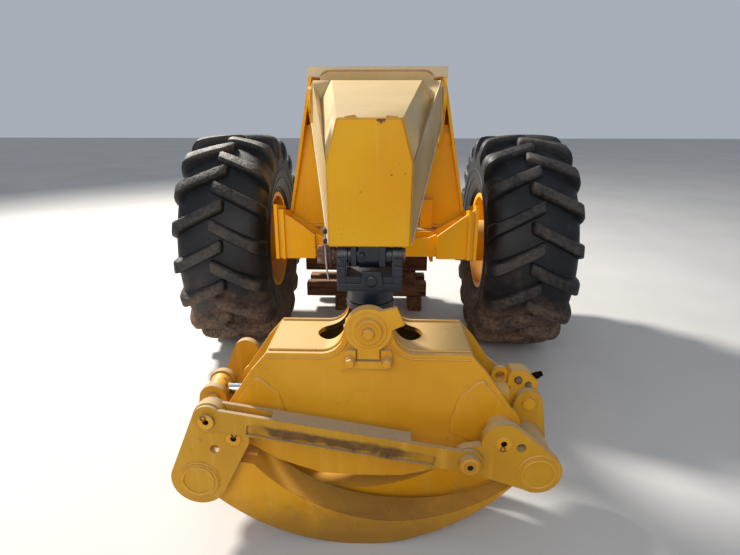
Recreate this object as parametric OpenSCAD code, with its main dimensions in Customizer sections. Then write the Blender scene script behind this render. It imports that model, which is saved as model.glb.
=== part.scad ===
// Rear section of an articulated grapple skidder: rear frame on its driven axle and two wide forestry tyres,
// fixed arch, lift boom with one lift cylinder, swinging link, rotator, and a three-tine log grapple whose
// tongs are tied together by a crossed timing link. A timber crib carries the nose where the front frame was.
// +Y points forwards, +X to the right, +Z up. The origin lies on the ground, at the middle of the whole length.

/* [Running gear] */
// Height of the wheel centres, and radius over the lugs
tyre_r = 785; // [740:1:830]
// Depth of a lug
lug_h = 52; // [40:1:60]
// Width of a tyre across its sidewalls
tyre_w = 590; // [560:1:620]
// Distance from the middle of the machine to the middle of each tyre
wheel_x = 1015; // [990:1:1030]
// Lugs along each half of a tread
lugs = 18; // [14:1:22]
// Width of a lug bar
lug_w = 70; // [50:1:85]
// Slant of a lug bar
lug_slant = 27; // [20:1:35]
// Radius of the rim's bead seat
rim_r = 330; // [310:1:345]
// Width between the rim flanges
rim_w = 480; // [420:1:520]
// Distance from the origin forwards to the axle
axle_y = 555; // [500:1:600]
// Radius of the axle tubes
axle_tube_r = 105; // [80:1:120]
// Radius of the wheel hubs
hub_r = 165; // [140:1:185]
// Radius of the differential bowl
bowl_r = 170; // [150:1:176]

/* [Rear frame] */
// Height of the deck above the wheel centres
deck_rise = 200; // [180:1:215]
// Thickness of the frame plates
plate_t = 20; // [14:1:26]
// Depth of the frame rails under the deck
rail_h = 330; // [300:1:360]
// Distance between the outer faces of the rails
rail_span = 760; // [700:1:820]
// How far the deck reaches behind the axle
deck_back = 520; // [480:1:560]
// How far the rails reach ahead of the axle
deck_front = 700; // [660:1:740]
// Distance from the axle forwards to the frame hinge pins
hinge_y = 1012; // [990:1:1030]
// Thickness of the frame hinge plates
hinge_t = 40; // [30:1:50]
// Radius of the frame hinge bores
hinge_bore_r = 38; // [30:1:45]
// Radius of the steering cylinder bores
steer_bore_r = 22; // [16:1:26]

/* [Arch and wings] */
// Height of the arch's crown above the deck
arch_h = 1000; // [960:1:1040]
// Half width of the arch at its crown
arch_top_x = 415; // [405:1:440]
// Half width of the arch at the deck
arch_foot_x = 600; // [560:1:615]
// Depth of the arch legs at the crown, front to back
arch_depth = 250; // [220:1:300]
// Half width over the wings
wing_x = 625; // [600:1:640]
// How far the wings reach below the deck
wing_drop = 140; // [125:1:155]
// Height of the wings' end plates
wing_h = 345; // [320:1:370]

/* [Boom] */
// Distance from the axle back to the boom's pivot pin
pivot_back = 545; // [530:1:555]
// How far the boom's pivot pin lies below the arch's crown
pivot_drop = 195; // [190:1:215]
// Radius of the boom's pivot pin
pivot_r = 45; // [35:1:55]
// Distance from the axle back to the link's pin at the boom's tip
tip_back = 1890; // [1860:1:1920]
// How far the link's pin lies below the boom's pivot pin
tip_drop = 595; // [585:1:605]
// Radius of the link's pin
tip_r = 30; // [24:1:34]
// Thickness of the boom's plates
boom_t = 14; // [10:1:20]
// Distance from the axle forwards to the lift cylinder's foot pin
foot_y = 150; // [120:1:180]
// Height of the lift cylinder's foot pin above the deck
foot_rise = 105; // [95:1:125]
// Distance from the axle back to the lift cylinder's rod pin
eye_back = 1150; // [1120:1:1180]
// Height of the lift cylinder's rod pin above the link's pin
eye_rise = 135; // [125:1:155]
// Radius of the lift cylinder's barrel
lift_r = 68; // [55:1:75]
// Radius of the lift cylinder's rod
lift_rod_r = 34; // [28:1:40]

/* [Grapple] */
// How far the hanger pin lies below the link's pin
hanger_drop = 240; // [230:1:250]
// Radius of the hanger pin
hanger_r = 36; // [30:1:40]
// Radius of the disc on the hanger pin's rear end
hanger_disc_r = 88; // [80:1:95]
// How far the tong pivots lie below the hanger pin
tong_drop = 415; // [405:1:425]
// Distance from the middle of the grapple to each tong pivot
tong_x = 515; // [505:1:525]
// Radius of the tong pivot pins
tong_pin_r = 34; // [28:1:40]
// Depth of the head between the outsides of its two plates
head_w = 350; // [330:1:370]
// Thickness of the head plates
head_t = 22; // [16:1:28]
// Depth between the outsides of the tong plates
tong_w = 580; // [560:1:600]
// Thickness of a tong plate
tong_t = 34; // [26:1:40]
// Radius of the tines' outer curve
tine_r = 854; // [830:1:880]
// How far the tines reach below the tong pivots
tine_drop = 540; // [520:1:545]
// Depth of a tine, front to back
tine_w = 140; // [120:1:150]
// Radius of the tong tubes
tube_r = 78; // [65:1:90]
// Distance of the left timing pin outwards from its tong pivot
timing_out = 86; // [80:1:92]
// Height of the left timing pin above its tong pivot
timing_up = 96; // [90:1:102]
// Distance of the right timing pin inwards from its tong pivot
timing_in = 129; // [124:1:134]
// Distance of the right timing pin below its tong pivot
timing_down = 74; // [68:1:80]
// Distance of the grapple cylinder's pins outwards from the tong pivots
ram_x = 149; // [142:1:156]
// Distance of the grapple cylinder's pins above the tong pivots
ram_z = 36; // [30:1:42]
// Radius of the grapple cylinder's barrel
ram_r = 62; // [54:1:68]
// Radius of the grapple cylinder's rod
ram_rod_r = 25; // [20:1:30]

/* [Timber crib] */
// Width and depth of a crib timber
timber = 130; // [120:1:140]
// Length of the crosswise timbers
timber_l = 1080; // [1000:1:1200]

/* [Hidden] */
$fn = 48;

// Clearance of a running pin in its bore, and of faces that slide past each other
run_gap = 0.05;
face_gap = 0.3;
// Clearance round parts that swing
swing_gap = 6;

yellow = "#d9a227";
bleached = "#e3c38a";
black = "#1c1c1c";
steel = "#8a8c90";
dark = "#2b333a";
wood = "#8a5f3a";

axle_z = tyre_r;
deck_z = axle_z + deck_rise;
arch_top_z = deck_z + arch_h;
wing_z = deck_z - wing_drop;
pivot_z = arch_top_z - pivot_drop;
tip_z = pivot_z - tip_drop;
foot_z = deck_z + foot_rise;
eye_z = tip_z + eye_rise;
hanger_z = tip_z - hanger_drop;
tong_z = hanger_z - tong_drop;
rail_x = rail_span / 2;
deck_y0 = axle_y - deck_back;
deck_y1 = axle_y + deck_front;
rail_z = deck_z - rail_h;
pivot_y = axle_y - pivot_back;
tip_y = axle_y - tip_back;
grapple_y = tip_y;
boom_half = 388;
arch_y = axle_y - 530;
arch_foot_y = axle_y - 445;
arch_foot_depth = 430;

// A plate whose outline lies in the Y-Z plane, reaching from x0 to x0 + t
module side_plate(x0, t) {
    translate([x0, 0, 0]) rotate([90, 0, 90]) linear_extrude(t) children();
}

// A plate whose outline lies in the X-Z plane, reaching from y0 to y0 + t
module cross_plate(y0, t) {
    translate([0, y0 + t, 0]) rotate([90, 0, 0]) linear_extrude(t) children();
}

// A shaft along X from x0 to x1
module shaft_x(x0, x1, r, y, z) {
    translate([x0, y, z]) rotate([0, 90, 0]) cylinder(h = x1 - x0, r = r);
}

// A shaft along Y from y0 to y1
module shaft_y(y0, y1, r, x, z) {
    translate([x, y1, z]) rotate([90, 0, 0]) cylinder(h = y1 - y0, r = r);
}

// A disc in a plate's outline
module circle_at(x, z, r) {
    translate([x, z]) circle(r);
}

// How far inside the circles the edges of a strap's bar run
strap_bite = 0.5;

// A flat outline round two circles: two discs joined by a bar as wide as they are
module strap2d(x0, z0, r0, x1, z1, r1) {
    reach = norm([x1 - x0, z1 - z0]);
    turn = atan2(z1 - z0, x1 - x0);
    lift = asin((r0 - r1) / reach);
    function rim(x, z, r, a) = [x + r * cos(a), z + r * sin(a)];
    translate([x0, z0]) circle(r0);
    translate([x1, z1]) circle(r1);
    a = r0 - strap_bite;
    b = r1 - strap_bite;
    polygon([rim(x0, z0, a, turn + 90 - lift), rim(x0, z0, a, turn - 90 + lift),
        rim(x1, z1, b, turn - 90 + lift), rim(x1, z1, b, turn + 90 - lift)]);
}

// Wheels

carcass_r = tyre_r - lug_h;
bead_gap = 0.3;
rim_t = 12;
flange_h = 30;

// How far a lug runs past the middle of the tread
lug_over = 28;

module tyre(side) {
    half = tyre_w / 2;
    seat = rim_w / 2 - bead_gap;
    bead = rim_r + rim_t + bead_gap;
    bar = half / cos(lug_slant) + lug_over + 30;
    color(black) translate([side * wheel_x, axle_y, axle_z]) rotate([0, 90, 0]) union() {
        rotate_extrude($fn = 72) polygon([
            [bead, -seat], [rim_r + 42, -seat], [rim_r + 62, -seat - 20], [rim_r + 150, -half + 4],
            [carcass_r - 170, -half], [carcass_r - 90, -half + 14], [carcass_r - 40, -half + 52],
            [carcass_r - 10, -half + 130], [carcass_r, 0], [carcass_r - 10, half - 130],
            [carcass_r - 40, half - 52], [carcass_r - 90, half - 14], [carcass_r - 170, half],
            [rim_r + 150, half - 4], [rim_r + 62, seat + 20], [rim_r + 42, seat], [bead, seat]]);
        intersection() {
            rotate_extrude($fn = 72) polygon([
                [carcass_r - 200, -half], [carcass_r - 110, -half - 8], [tyre_r - 74, -half],
                [tyre_r - 12, -half + 36], [tyre_r, 0], [tyre_r - 12, half - 36], [tyre_r - 74, half],
                [carcass_r - 110, half + 8], [carcass_r - 200, half], [carcass_r - 80, 0]]);
            union() for (i = [0:lugs - 1], s = [-1, 1]) {
                rotate([0, 0, (i + (s > 0 ? 0.5 : 0)) * 360 / lugs])
                    translate([tyre_r - 100, 0, -s * lug_over])
                    rotate([-s * lug_slant, 0, 0])
                    translate([-120, -lug_w / 2, s > 0 ? 0 : -bar])
                    cube([240, lug_w, bar]);
            }
        }
    }
}

disc_x = 40;
disc_t = 20;
bolt_ring_r = 235;

module rim(side) {
    half = rim_w / 2;
    color(yellow) translate([side * wheel_x, axle_y, axle_z]) rotate([0, side * 90, 0]) difference() {
        rotate_extrude($fn = 72) polygon([
            [rim_r, -half - 10], [rim_r + flange_h, -half - 10], [rim_r + flange_h, -half],
            [rim_r + rim_t, -half], [rim_r + rim_t, half], [rim_r + flange_h, half],
            [rim_r + flange_h, half + 10], [rim_r, half + 10], [rim_r, disc_x + disc_t + 60],
            [rim_r - 40, disc_x + disc_t], [hub_r + 1, disc_x + disc_t], [hub_r + 1, disc_x],
            [rim_r - 30, disc_x], [rim_r, disc_x + 30]]);
        for (a = [0:36:359]) rotate([0, 0, a]) translate([bolt_ring_r, 0, disc_x - 1]) cylinder(h = disc_t + 2, r = 13);
    }
}

hub_in = 600;

module hub(side) {
    flange_x = wheel_x + disc_x;
    color(yellow) translate([0, axle_y, axle_z]) rotate([0, side * 90, 0]) union() {
        translate([0, 0, hub_in]) cylinder(h = flange_x - hub_in - 24, r = hub_r - 10);
        translate([0, 0, flange_x - 24]) cylinder(h = 24 - face_gap, r = bolt_ring_r + 30);
        translate([0, 0, flange_x - 24]) cylinder(h = 24 + disc_t + 70, r = hub_r);
        translate([0, 0, flange_x + disc_t + 70]) cylinder(h = 30, r1 = hub_r, r2 = hub_r - 40);
        for (a = [0:36:359]) rotate([0, 0, a]) translate([bolt_ring_r, 0, flange_x - 24])
            cylinder(h = 24 + disc_t + 18, r = 12.5);
    }
}

// Axle

bowl_half = 220;
// Radius of the differential's nose where it passes the frame
nose_r1 = 85;

module axle_housing() {
    flare = 60;
    color(yellow) for (s = [-1, 1]) scale([s, 1, 1]) union() {
        shaft_x(bowl_half + face_gap, hub_in - face_gap, axle_tube_r, axle_y, axle_z);
        shaft_x(hub_in - face_gap - flare, hub_in - face_gap, hub_r - 20, axle_y, axle_z);
        translate([rail_x - plate_t - 130, axle_y - 95, axle_z])
            cube([130 - face_gap, 190, deck_z - plate_t - axle_z - face_gap]);
    }
}

module differential() {
    nose = 330;
    color(yellow) union() {
        translate([0, axle_y, axle_z]) rotate([0, 90, 0]) rotate_extrude($fn = 64) polygon([
            [0, -bowl_half], [axle_tube_r + 20, -bowl_half], [bowl_r, -90], [bowl_r, 90],
            [axle_tube_r + 20, bowl_half], [0, bowl_half]]);
        translate([0, axle_y, axle_z]) rotate([-90, 0, 0]) cylinder(h = nose, r1 = bowl_r - 30, r2 = nose_r1);
    }
}

drive_y = axle_y + 330;

module drive_flange() {
    color(steel) translate([0, drive_y + face_gap, axle_z]) rotate([-90, 0, 0]) difference() {
        union() {
            cylinder(h = 40, r = 55);
            translate([0, 0, 40]) cylinder(h = 18, r = 88);
        }
        for (a = [0:90:359]) rotate([0, 0, a + 45]) translate([68, 0, 30]) cylinder(h = 40, r = 7);
    }
}

// Frame

module rail_outline() {
    rise = 110;
    polygon([[deck_y0, deck_z - plate_t - face_gap], [deck_y0, rail_z + rise],
        [axle_y - 240, rail_z + rise], [axle_y - 150, axle_z + 120], [axle_y + 150, axle_z + 120],
        [axle_y + 260, rail_z], [deck_y1, rail_z], [deck_y1, deck_z - plate_t - face_gap]]);
}

module rear_frame() {
    color(yellow) {
        for (s = [-1, 1]) side_plate(s > 0 ? rail_x - plate_t : -rail_x, plate_t) rail_outline();
    }
}

// Two cross plates and a floor between the rails, with a round way through for the drive shaft's flange
box_y = axle_y + 300;

module nose_box() {
    half = rail_x - plate_t;
    high = rail_h - plate_t - face_gap;
    color(yellow) union() {
        cross_plate(box_y, plate_t) difference() {
            translate([-half, rail_z]) square([2 * half, high]);
            translate([0, axle_z]) circle(nose_r1 + 25);
        }
        cross_plate(deck_y1 - plate_t, plate_t) translate([-half, rail_z]) square([2 * half, high]);
        translate([-half, box_y + plate_t - 1, rail_z])
            cube([2 * half, deck_y1 - box_y - 2 * plate_t + 2, plate_t]);
    }
}

module deck_plate() {
    color(yellow) translate([0, 0, deck_z - plate_t]) linear_extrude(plate_t) difference() {
        polygon([[-rail_x, deck_y0], [rail_x, deck_y0], [rail_x, axle_y + 240], [rail_x - 60, deck_y1],
            [-rail_x + 60, deck_y1], [-rail_x, axle_y + 240]]);
        translate([-110, box_y + plate_t]) square([220, 130]);
    }
}

// The two hinge plates at the nose, each with a bore for its frame pin, and ears for the steering cylinders
module frame_hinge() {
    hinge_at = axle_y + hinge_y;
    color(yellow) for (z = [deck_z + face_gap, rail_z - hinge_t - face_gap]) difference() {
        translate([0, 0, z]) linear_extrude(hinge_t) union() {
            polygon([[-rail_x + 60, deck_y1 - 240], [rail_x - 60, deck_y1 - 240], [rail_x - 60, deck_y1 - 40],
                [105, hinge_at], [-105, hinge_at], [-rail_x + 60, deck_y1 - 40]]);
            translate([0, hinge_at]) circle(105);
        }
        translate([0, hinge_at, z - 1]) cylinder(h = hinge_t + 2, r = hinge_bore_r);
    }
    color(yellow) for (s = [-1, 1], z = [axle_z - 80, axle_z + 10]) difference() {
        translate([s * rail_x, 0, z]) linear_extrude(30) difference() {
            polygon([[s * face_gap, deck_y1 - 260], [s * 60, deck_y1 - 250], [s * 150, deck_y1 - 150],
                [s * 150, deck_y1 - 90], [s * 60, deck_y1 - 30], [s * face_gap, deck_y1 - 20]]);
        }
        translate([s * (rail_x + 100), deck_y1 - 120, z - 1]) cylinder(h = 32, r = steer_bore_r);
    }
}

ear_t = 30;
lift_half = 45;
foot_pin_r = 28;

module foot_bracket() {
    color(yellow) for (s = [-1, 1]) side_plate(s > 0 ? lift_half + face_gap : -lift_half - ear_t - face_gap, ear_t)
        union() {
            polygon([[axle_y + foot_y - 130, deck_z + face_gap], [axle_y + foot_y + 110, deck_z + face_gap],
                [axle_y + foot_y + 60, foot_z], [axle_y + foot_y - 60, foot_z]]);
            translate([axle_y + foot_y, foot_z]) circle(60);
        }
    color(steel) shaft_x(-lift_half - ear_t - 12, lift_half + ear_t + 12, foot_pin_r, axle_y + foot_y, foot_z);
}

// Rear beam and wings

module rear_beam() {
    beam_y = deck_y0 - face_gap;
    beam_depth = 160;
    color(yellow) union() {
        cross_plate(beam_y - plate_t, plate_t) translate([-rail_x, wing_z])
            square([rail_span, deck_z - 8 - wing_z]);
        translate([-rail_x, beam_y - beam_depth, wing_z]) cube([rail_span, beam_depth, plate_t]);
        cross_plate(beam_y - beam_depth, plate_t) polygon([[-rail_x, wing_z], [rail_x, wing_z],
            [rail_x, wing_z + 145], [slope_end - 20, deck_z - 20], [-slope_end + 20, deck_z - 20],
            [-rail_x, wing_z + 145]]);
    }
}

// Width of a wing's framed end, and how far its slope ends from the middle
end_w = 60;
slope_end = 348;
wing_depth = 290;

module wing(side) {
    y0 = axle_y - 757;
    y1 = y0 + wing_depth;
    inner = rail_x + face_gap;
    top = wing_z + wing_h;
    low = wing_z + 125;
    color(yellow) scale([side, 1, 1]) union() {
        side_plate(wing_x - plate_t, plate_t) polygon([[y0, wing_z], [y1, wing_z], [y1, top - 60], [y0, top]]);
        side_plate(wing_x - end_w, plate_t) polygon([[y0, wing_z], [y1, wing_z], [y1, top - 90],
            [y0, top - 30]]);
        cross_plate(y0 + plate_t, plate_t) polygon([[inner, wing_z], [wing_x - 5, wing_z], [wing_x - 5, top - 20],
            [wing_x - end_w, top - 60], [inner, low + 20]]);
        translate([inner, y0 + plate_t, wing_z]) cube([wing_x - inner - 5, wing_depth - plate_t, plate_t]);
        cross_plate(y1 - plate_t, plate_t) polygon([[inner, wing_z], [wing_x - 5, wing_z], [wing_x - 5, top - 80],
            [inner, low]]);
    }
}

// Arch

leg_t = 18;
crown_z = arch_top_z - 60;

module arch() {
    y1 = arch_y + arch_depth;
    foot = deck_z + face_gap;
    foot_y1 = arch_foot_y + arch_foot_depth;
    lean = (arch_foot_x - arch_top_x) / (crown_z - foot);
    inner = arch_foot_x - leg_t + 4;
    ear_x = boom_half + 5;
    rear_top = crown_z - 280;
    color(yellow) union() {
        cross_plate(y1 - leg_t, leg_t) translate([-ear_x - 10, crown_z - 45]) square([2 * ear_x + 20, 45]);
        translate([293, arch_foot_y + 20 - 60, foot]) cube([73, 60, 190]);
    }
    color(yellow) for (s = [-1, 1]) scale([s, 1, 1]) union() {
        intersection() {
            cross_plate(arch_y, 3 * arch_foot_depth) polygon([[arch_foot_x - leg_t, foot], [arch_foot_x, foot],
                [arch_top_x, crown_z], [arch_top_x - leg_t, crown_z]]);
            side_plate(0, 800) polygon([[arch_foot_y, foot], [foot_y1, foot], [y1, crown_z], [arch_y, crown_z]]);
        }
        cross_plate(arch_foot_y + 20, leg_t) polygon([[240, foot], [inner, foot],
            [inner - lean * (rear_top - foot), rear_top], [ear_x + 30, rear_top], [240, foot + 345]]);
        difference() {
            side_plate(ear_x, 22) union() {
                polygon([[pivot_y - 50, pivot_z - 50], [arch_foot_y + 20, crown_z - 425],
                    [y1 + 40, crown_z - 425], [y1, crown_z],
                    [arch_y + 50, crown_z], [pivot_y - 60, pivot_z]]);
                translate([pivot_y, pivot_z]) circle(80);
            }
            shaft_x(0, 800, pivot_r + run_gap, pivot_y, pivot_z);
        }
        cross_plate(y1 - leg_t, leg_t) polygon([[ear_x, foot], [inner, foot], [arch_top_x - 10, crown_z],
            [ear_x, crown_z]]);
        translate([0, 0, foot]) linear_extrude(leg_t) polygon([[240, arch_foot_y], [arch_foot_x, arch_foot_y],
            [arch_foot_x, foot_y1], [240, foot_y1]]);
    }
}

module arch_hood() {
    lip = arch_top_x + 12;
    under = arch_top_z - 20;
    seat = crown_z + face_gap;
    low = seat - 6;
    // Inner side of a thick end, from its foot up to the underside
    curve = [[345, seat], [341, seat + 14], [330, seat + 27], [312, seat + 36], [288, under]];
    color(bleached) cross_plate(arch_y + 20, arch_depth - 20) polygon([
        [-lip, low], [-lip, arch_top_z - 10], [-lip + 10, arch_top_z], [lip - 10, arch_top_z], [lip, arch_top_z - 10],
        [lip, low], [arch_top_x + 2, low], [arch_top_x + 2, seat], for (p = curve) p,
        for (k = [4:-1:0]) [-curve[k][0], curve[k][1]], [-arch_top_x - 2, seat], [-arch_top_x - 2, low]]);
}

module boom_pivot_pin() {
    color(steel) shaft_x(-boom_half - 25, boom_half + 25, pivot_r, pivot_y, pivot_z);
}

// Boom

// One boom section: half widths at the top, shoulder and bottom, and the heights of the three
module boom_section(y, t, top, shoulder, bottom, inset) {
    cross_plate(y, t) polygon([
        for (p = [[-1, bottom], [-1, shoulder], [-1, top], [1, top], [1, shoulder], [1, bottom]])
            [p[0] * (p[1][0] - inset), p[1][1] + (p[1] == bottom ? inset : p[1] == top ? -inset : 0)]]);
}

boom_tip_y = tip_y - 55;
boom_root_y = pivot_y - 80;
collar_t = 30;
tip_top = [117, tip_z + 516];
tip_shoulder = [158, tip_z + 360];
tip_bottom = [154, tip_z + 49];
root_top = [boom_half - 122, pivot_z + 113];
root_shoulder = [boom_half - 12, pivot_z + 110];
root_bottom = [boom_half - 2, pivot_z - 135];

module boom_hull(inset) {
    hull() {
        boom_section(boom_tip_y, 1, tip_top, tip_shoulder, tip_bottom, inset);
        boom_section(boom_root_y - 1, 1, root_top, root_shoulder, root_bottom, inset);
    }
}

module boom_shell() {
    eye_y = axle_y - eye_back;
    top_z = eye_z + 300;
    color(yellow) difference() {
        union() {
            boom_hull(0);
            for (s = [-1, 1]) side_plate(s > 0 ? lift_half + swing_gap : -lift_half - ear_t - swing_gap, ear_t) union() {
                circle_at(eye_y, eye_z, 52);
                polygon([[eye_y - 52, eye_z], [eye_y + 52, eye_z], [eye_y + 110, top_z], [eye_y - 110, top_z]]);
            }
            for (s = [-1, 1]) shaft_x(s > 0 ? lift_half + swing_gap : -lift_half - ear_t - 20,
                s > 0 ? lift_half + ear_t + 20 : -lift_half - swing_gap, 28, eye_y, eye_z);
        }
        boom_hull(boom_t);
    }
}

// The thick frame round the boom's root with its raised lip, and the two cheeks and hubs of its pivot
module boom_root() {
    hub_w = 80;
    cheek_t = 30;
    low = root_bottom[1] - 10;
    high = root_top[1];
    half = boom_half - 2;
    color(yellow) difference() {
        union() {
            for (lip = [0, 1]) cross_plate(boom_root_y + lip * collar_t, collar_t) difference() {
                union() {
                    polygon([[-half, low], [half, low], [half - 8, high - 3], [root_top[0], high], [-root_top[0], high],
                        [8 - half, high - 3]]);
                    if (lip > 0) polygon([[-half + 46, high - 10], [half - 46, high - 10], [half - 52, high + 20],
                        [half - 84, high + 42], [half - 120, high + 47], [120 - half, high + 47],
                        [84 - half, high + 42], [52 - half, high + 20]]);
                }
                translate([-half + cheek_t, low + 30]) square([2 * (half - cheek_t), high - low - 54]);
            }
            for (s = [-1, 1]) {
                side_plate(s > 0 ? boom_half - hub_w : -boom_half, hub_w) circle_at(pivot_y, pivot_z, pivot_r + 30);
                side_plate(s > 0 ? half - cheek_t : -half, cheek_t) polygon([[boom_root_y + 1, low],
                    [pivot_y + 20, pivot_z - 70], [pivot_y + 20, pivot_z + 70], [boom_root_y + 1, pivot_z + 90]]);
            }
        }
        shaft_x(-500, 500, pivot_r + run_gap, pivot_y, pivot_z);
    }
}

// The lug under the boom's tip that holds the link's pin, between two wide bosses
module tip_lug() {
    half = 42;
    color(dark) difference() {
        union() {
            side_plate(-half, 2 * half) union() {
                circle_at(tip_y, tip_z, 50);
                polygon([[tip_y - 50, tip_z], [tip_y + 50, tip_z], [tip_y + 90, tip_z + 110], [tip_y - 50, tip_z + 90]]);
            }
            shaft_x(-2 * half, 2 * half, 44, tip_y, tip_z);
        }
        boom_hull(0);
        shaft_x(-200, 200, tip_r + run_gap, tip_y, tip_z);
    }
}

module boom_cap() {
    color(yellow) boom_section(boom_tip_y - boom_t, boom_t, tip_top - [4, 4], tip_shoulder - [4, 0], tip_bottom + [-4, 4], 0);
}

// Lift cylinder, laid along the line between its two pins

lift_len = norm([foot_y + eye_back, eye_z - foot_z]);
lift_tilt = atan2(eye_z - foot_z, foot_y + eye_back);

module along_lift() {
    translate([0, axle_y + foot_y, foot_z]) rotate([90 - lift_tilt, 0, 0]) children();
}

module lift_barrel() {
    color(yellow) along_lift() difference() {
        union() {
            rotate([0, 90, 0]) cylinder(h = 2 * lift_half, r = 52, center = true);
            translate([-lift_half, -44, 0]) cube([2 * lift_half, 88, 84]);
            translate([0, 0, 76]) cylinder(h = lift_len - 226, r = lift_r);
        }
        rotate([0, 90, 0]) cylinder(h = 200, r = foot_pin_r + run_gap, center = true);
        translate([0, 0, 120]) cylinder(h = lift_len, r = lift_rod_r + run_gap);
    }
}

module lift_rod() {
    color(steel) along_lift() union() {
        translate([0, 0, 460]) cylinder(h = lift_len - 500, r = lift_rod_r);
        translate([0, 0, lift_len]) rotate([0, 90, 0]) difference() {
            cylinder(h = 2 * lift_half, r = 50, center = true);
            cylinder(h = 200, r = 26, center = true);
        }
    }
}

// Link and rotator

link_half = 125;
link_base = tip_z - 120;

module link() {
    color(dark) difference() {
        union() {
            for (s = [-1, 1]) side_plate(s > 0 ? 88 : -link_half, link_half - 88) union() {
                translate([tip_y, tip_z]) circle(52);
                polygon([[tip_y - 52, tip_z], [tip_y + 52, tip_z], [tip_y + 70, link_base + 60], [tip_y + 70, link_base],
                    [tip_y - 70, link_base], [tip_y - 70, link_base + 60]]);
            }
            translate([-link_half, tip_y - 70, link_base]) cube([2 * link_half, 140, 50]);
        }
        shaft_x(-200, 200, tip_r + run_gap, tip_y, tip_z);
    }
}

module link_pin() {
    color(steel) union() {
        shaft_x(-link_half - 14, link_half + 14, tip_r, tip_y, tip_z);
        shaft_x(-link_half - 80, -link_half - 12, tip_r + 6, tip_y, tip_z);
    }
}

// Underside of the rotator's housing, and radius of its shaft
turn_z = link_base - 55;
turn_r = 40;

module rotator_housing() {
    color(dark) translate([0, grapple_y, 0]) difference() {
        translate([0, 0, turn_z]) cylinder(h = link_base - turn_z - face_gap, r = 92);
        translate([0, 0, turn_z - 1]) cylinder(h = 41, r = turn_r + run_gap);
    }
}

module rotator_shaft() {
    color(steel) translate([0, grapple_y, turn_z - swing_gap]) cylinder(h = 40, r = turn_r);
}

module hanger_yoke() {
    w = head_w / 2 - head_t - face_gap;
    color(dark) translate([0, grapple_y, 0]) difference() {
        union() {
            translate([0, 0, turn_z - swing_gap - 24]) cylinder(h = 24, r = 95);
            translate([0, w, hanger_z]) rotate([90, 0, 0]) cylinder(h = 2 * w, r = 55);
            translate([-55, -90, hanger_z]) cube([110, 180, turn_z - swing_gap - 20 - hanger_z]);
        }
        translate([0, 300, hanger_z]) rotate([90, 0, 0]) cylinder(h = 600, r = hanger_r + run_gap);
    }
}

// Head

front_y = grapple_y - head_w / 2;
back_y = grapple_y + head_w / 2;
tong_front = grapple_y - tong_w / 2;
tong_back = grapple_y + tong_w / 2;

fork_gap = 3;
fork_t = 16;
hub_y0 = tong_front + tong_t + fork_gap + fork_t + swing_gap;
hub_y1 = front_y + head_t + 40;

// Heights over the tong pivots: the head's top edge, and its shoulders under the corners
head_top = 308;
head_side = 232;
// Radius of the hollow curve from the top edge up to the hanger's hump
hump_curve = 92;

module head_outline() {
    hump = 90;
    translate([0, tong_z]) union() {
        polygon([[-377, -174], [-290, -208], [-200, -237], [-80, -246], [60, -248], [140, -244], [230, -222],
            [300, -199], [400, -150], [tong_x - 20, -88], [tong_x + 20, -88], [tong_x + 88, 20], [460, head_side],
            [395, head_top], [-395, head_top], [-460, head_side], [-tong_x - 88, 20], [-tong_x - 20, -88],
            [-tong_x + 40, -112]]);
        for (s = [-1, 1]) translate([s * tong_x, 0]) circle(90);
        difference() {
            translate([-2 * hump_curve, head_top - 10]) square([4 * hump_curve, tong_drop - head_top + 20]);
            for (s = [-1, 1]) translate([s * 2 * hump_curve, head_top + hump_curve]) circle(hump_curve);
        }
        translate([0, tong_drop]) circle(hump);
    }
}

// The head's top plate on one side: flat over the shoulder, then bent up along the hump's hollow curve
module top_plate_2d(s) {
    t = 18;
    translate([0, tong_z]) {
        polygon([[s * (2 * hump_curve - 1), head_top - t], [s * 408, head_top - t], [s * 392, head_top + 2],
            [s * (2 * hump_curve - 1), head_top + 2]]);
        translate([s * 2 * hump_curve, head_top + hump_curve]) intersection() {
            difference() {
                circle(hump_curve + t);
                circle(hump_curve - 2);
            }
            polygon([[0, 0], [0, -2 * hump_curve], [-s * 2 * hump_curve, -2 * hump_curve], [-s * 2 * hump_curve, 10],
                [-s * 40, 10]]);
        }
    }
}

module head_shell() {
    slot_r = 80;
    slot_end = 137;
    color(yellow) difference() {
        union() {
            cross_plate(front_y, head_t) head_outline();
            cross_plate(back_y - head_t, head_t) head_outline();
            for (s = [-1, 1]) cross_plate(front_y, head_w) top_plate_2d(s);
            for (s = [-1, 1], y = [hub_y0, 2 * grapple_y - hub_y1])
                cross_plate(y, hub_y1 - hub_y0) circle_at(s * tong_x, tong_z, 56);
        }
        for (s = [-1, 1]) shaft_y(-3000, 0, tong_pin_r + run_gap, s * tong_x, tong_z);
        shaft_y(-3000, 0, hanger_r + run_gap, 0, hanger_z);
        translate([0, grapple_y + 25, hanger_z - 150]) linear_extrude(260) union() {
            for (s = [-1, 1]) translate([s * slot_end, 0]) circle(slot_r);
            translate([-slot_end, -slot_r]) square([2 * slot_end, 2 * slot_r]);
        }
    }
}

module hanger_pin() {
    disc_y = front_y - 18;
    color(yellow) union() {
        shaft_y(front_y - 40, back_y + 14, hanger_r, 0, hanger_z);
        shaft_y(disc_y, front_y - face_gap, hanger_disc_r, 0, hanger_z);
        shaft_y(front_y - 32, disc_y + 1, 52, 0, hanger_z);
        cross_plate(disc_y, 18 - face_gap) translate([0, hanger_z]) union() {
            polygon([[10, 70], [46, 79], [105, 94], [135, 25], [81, 0], [40, -40]]);
            polygon([[-42, -60], [42, -60], [42, -118], [-42, -118]]);
        }
    }
}

// Height of the pin keeper's lower edge
keeper_z = hanger_z - 155;

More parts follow.
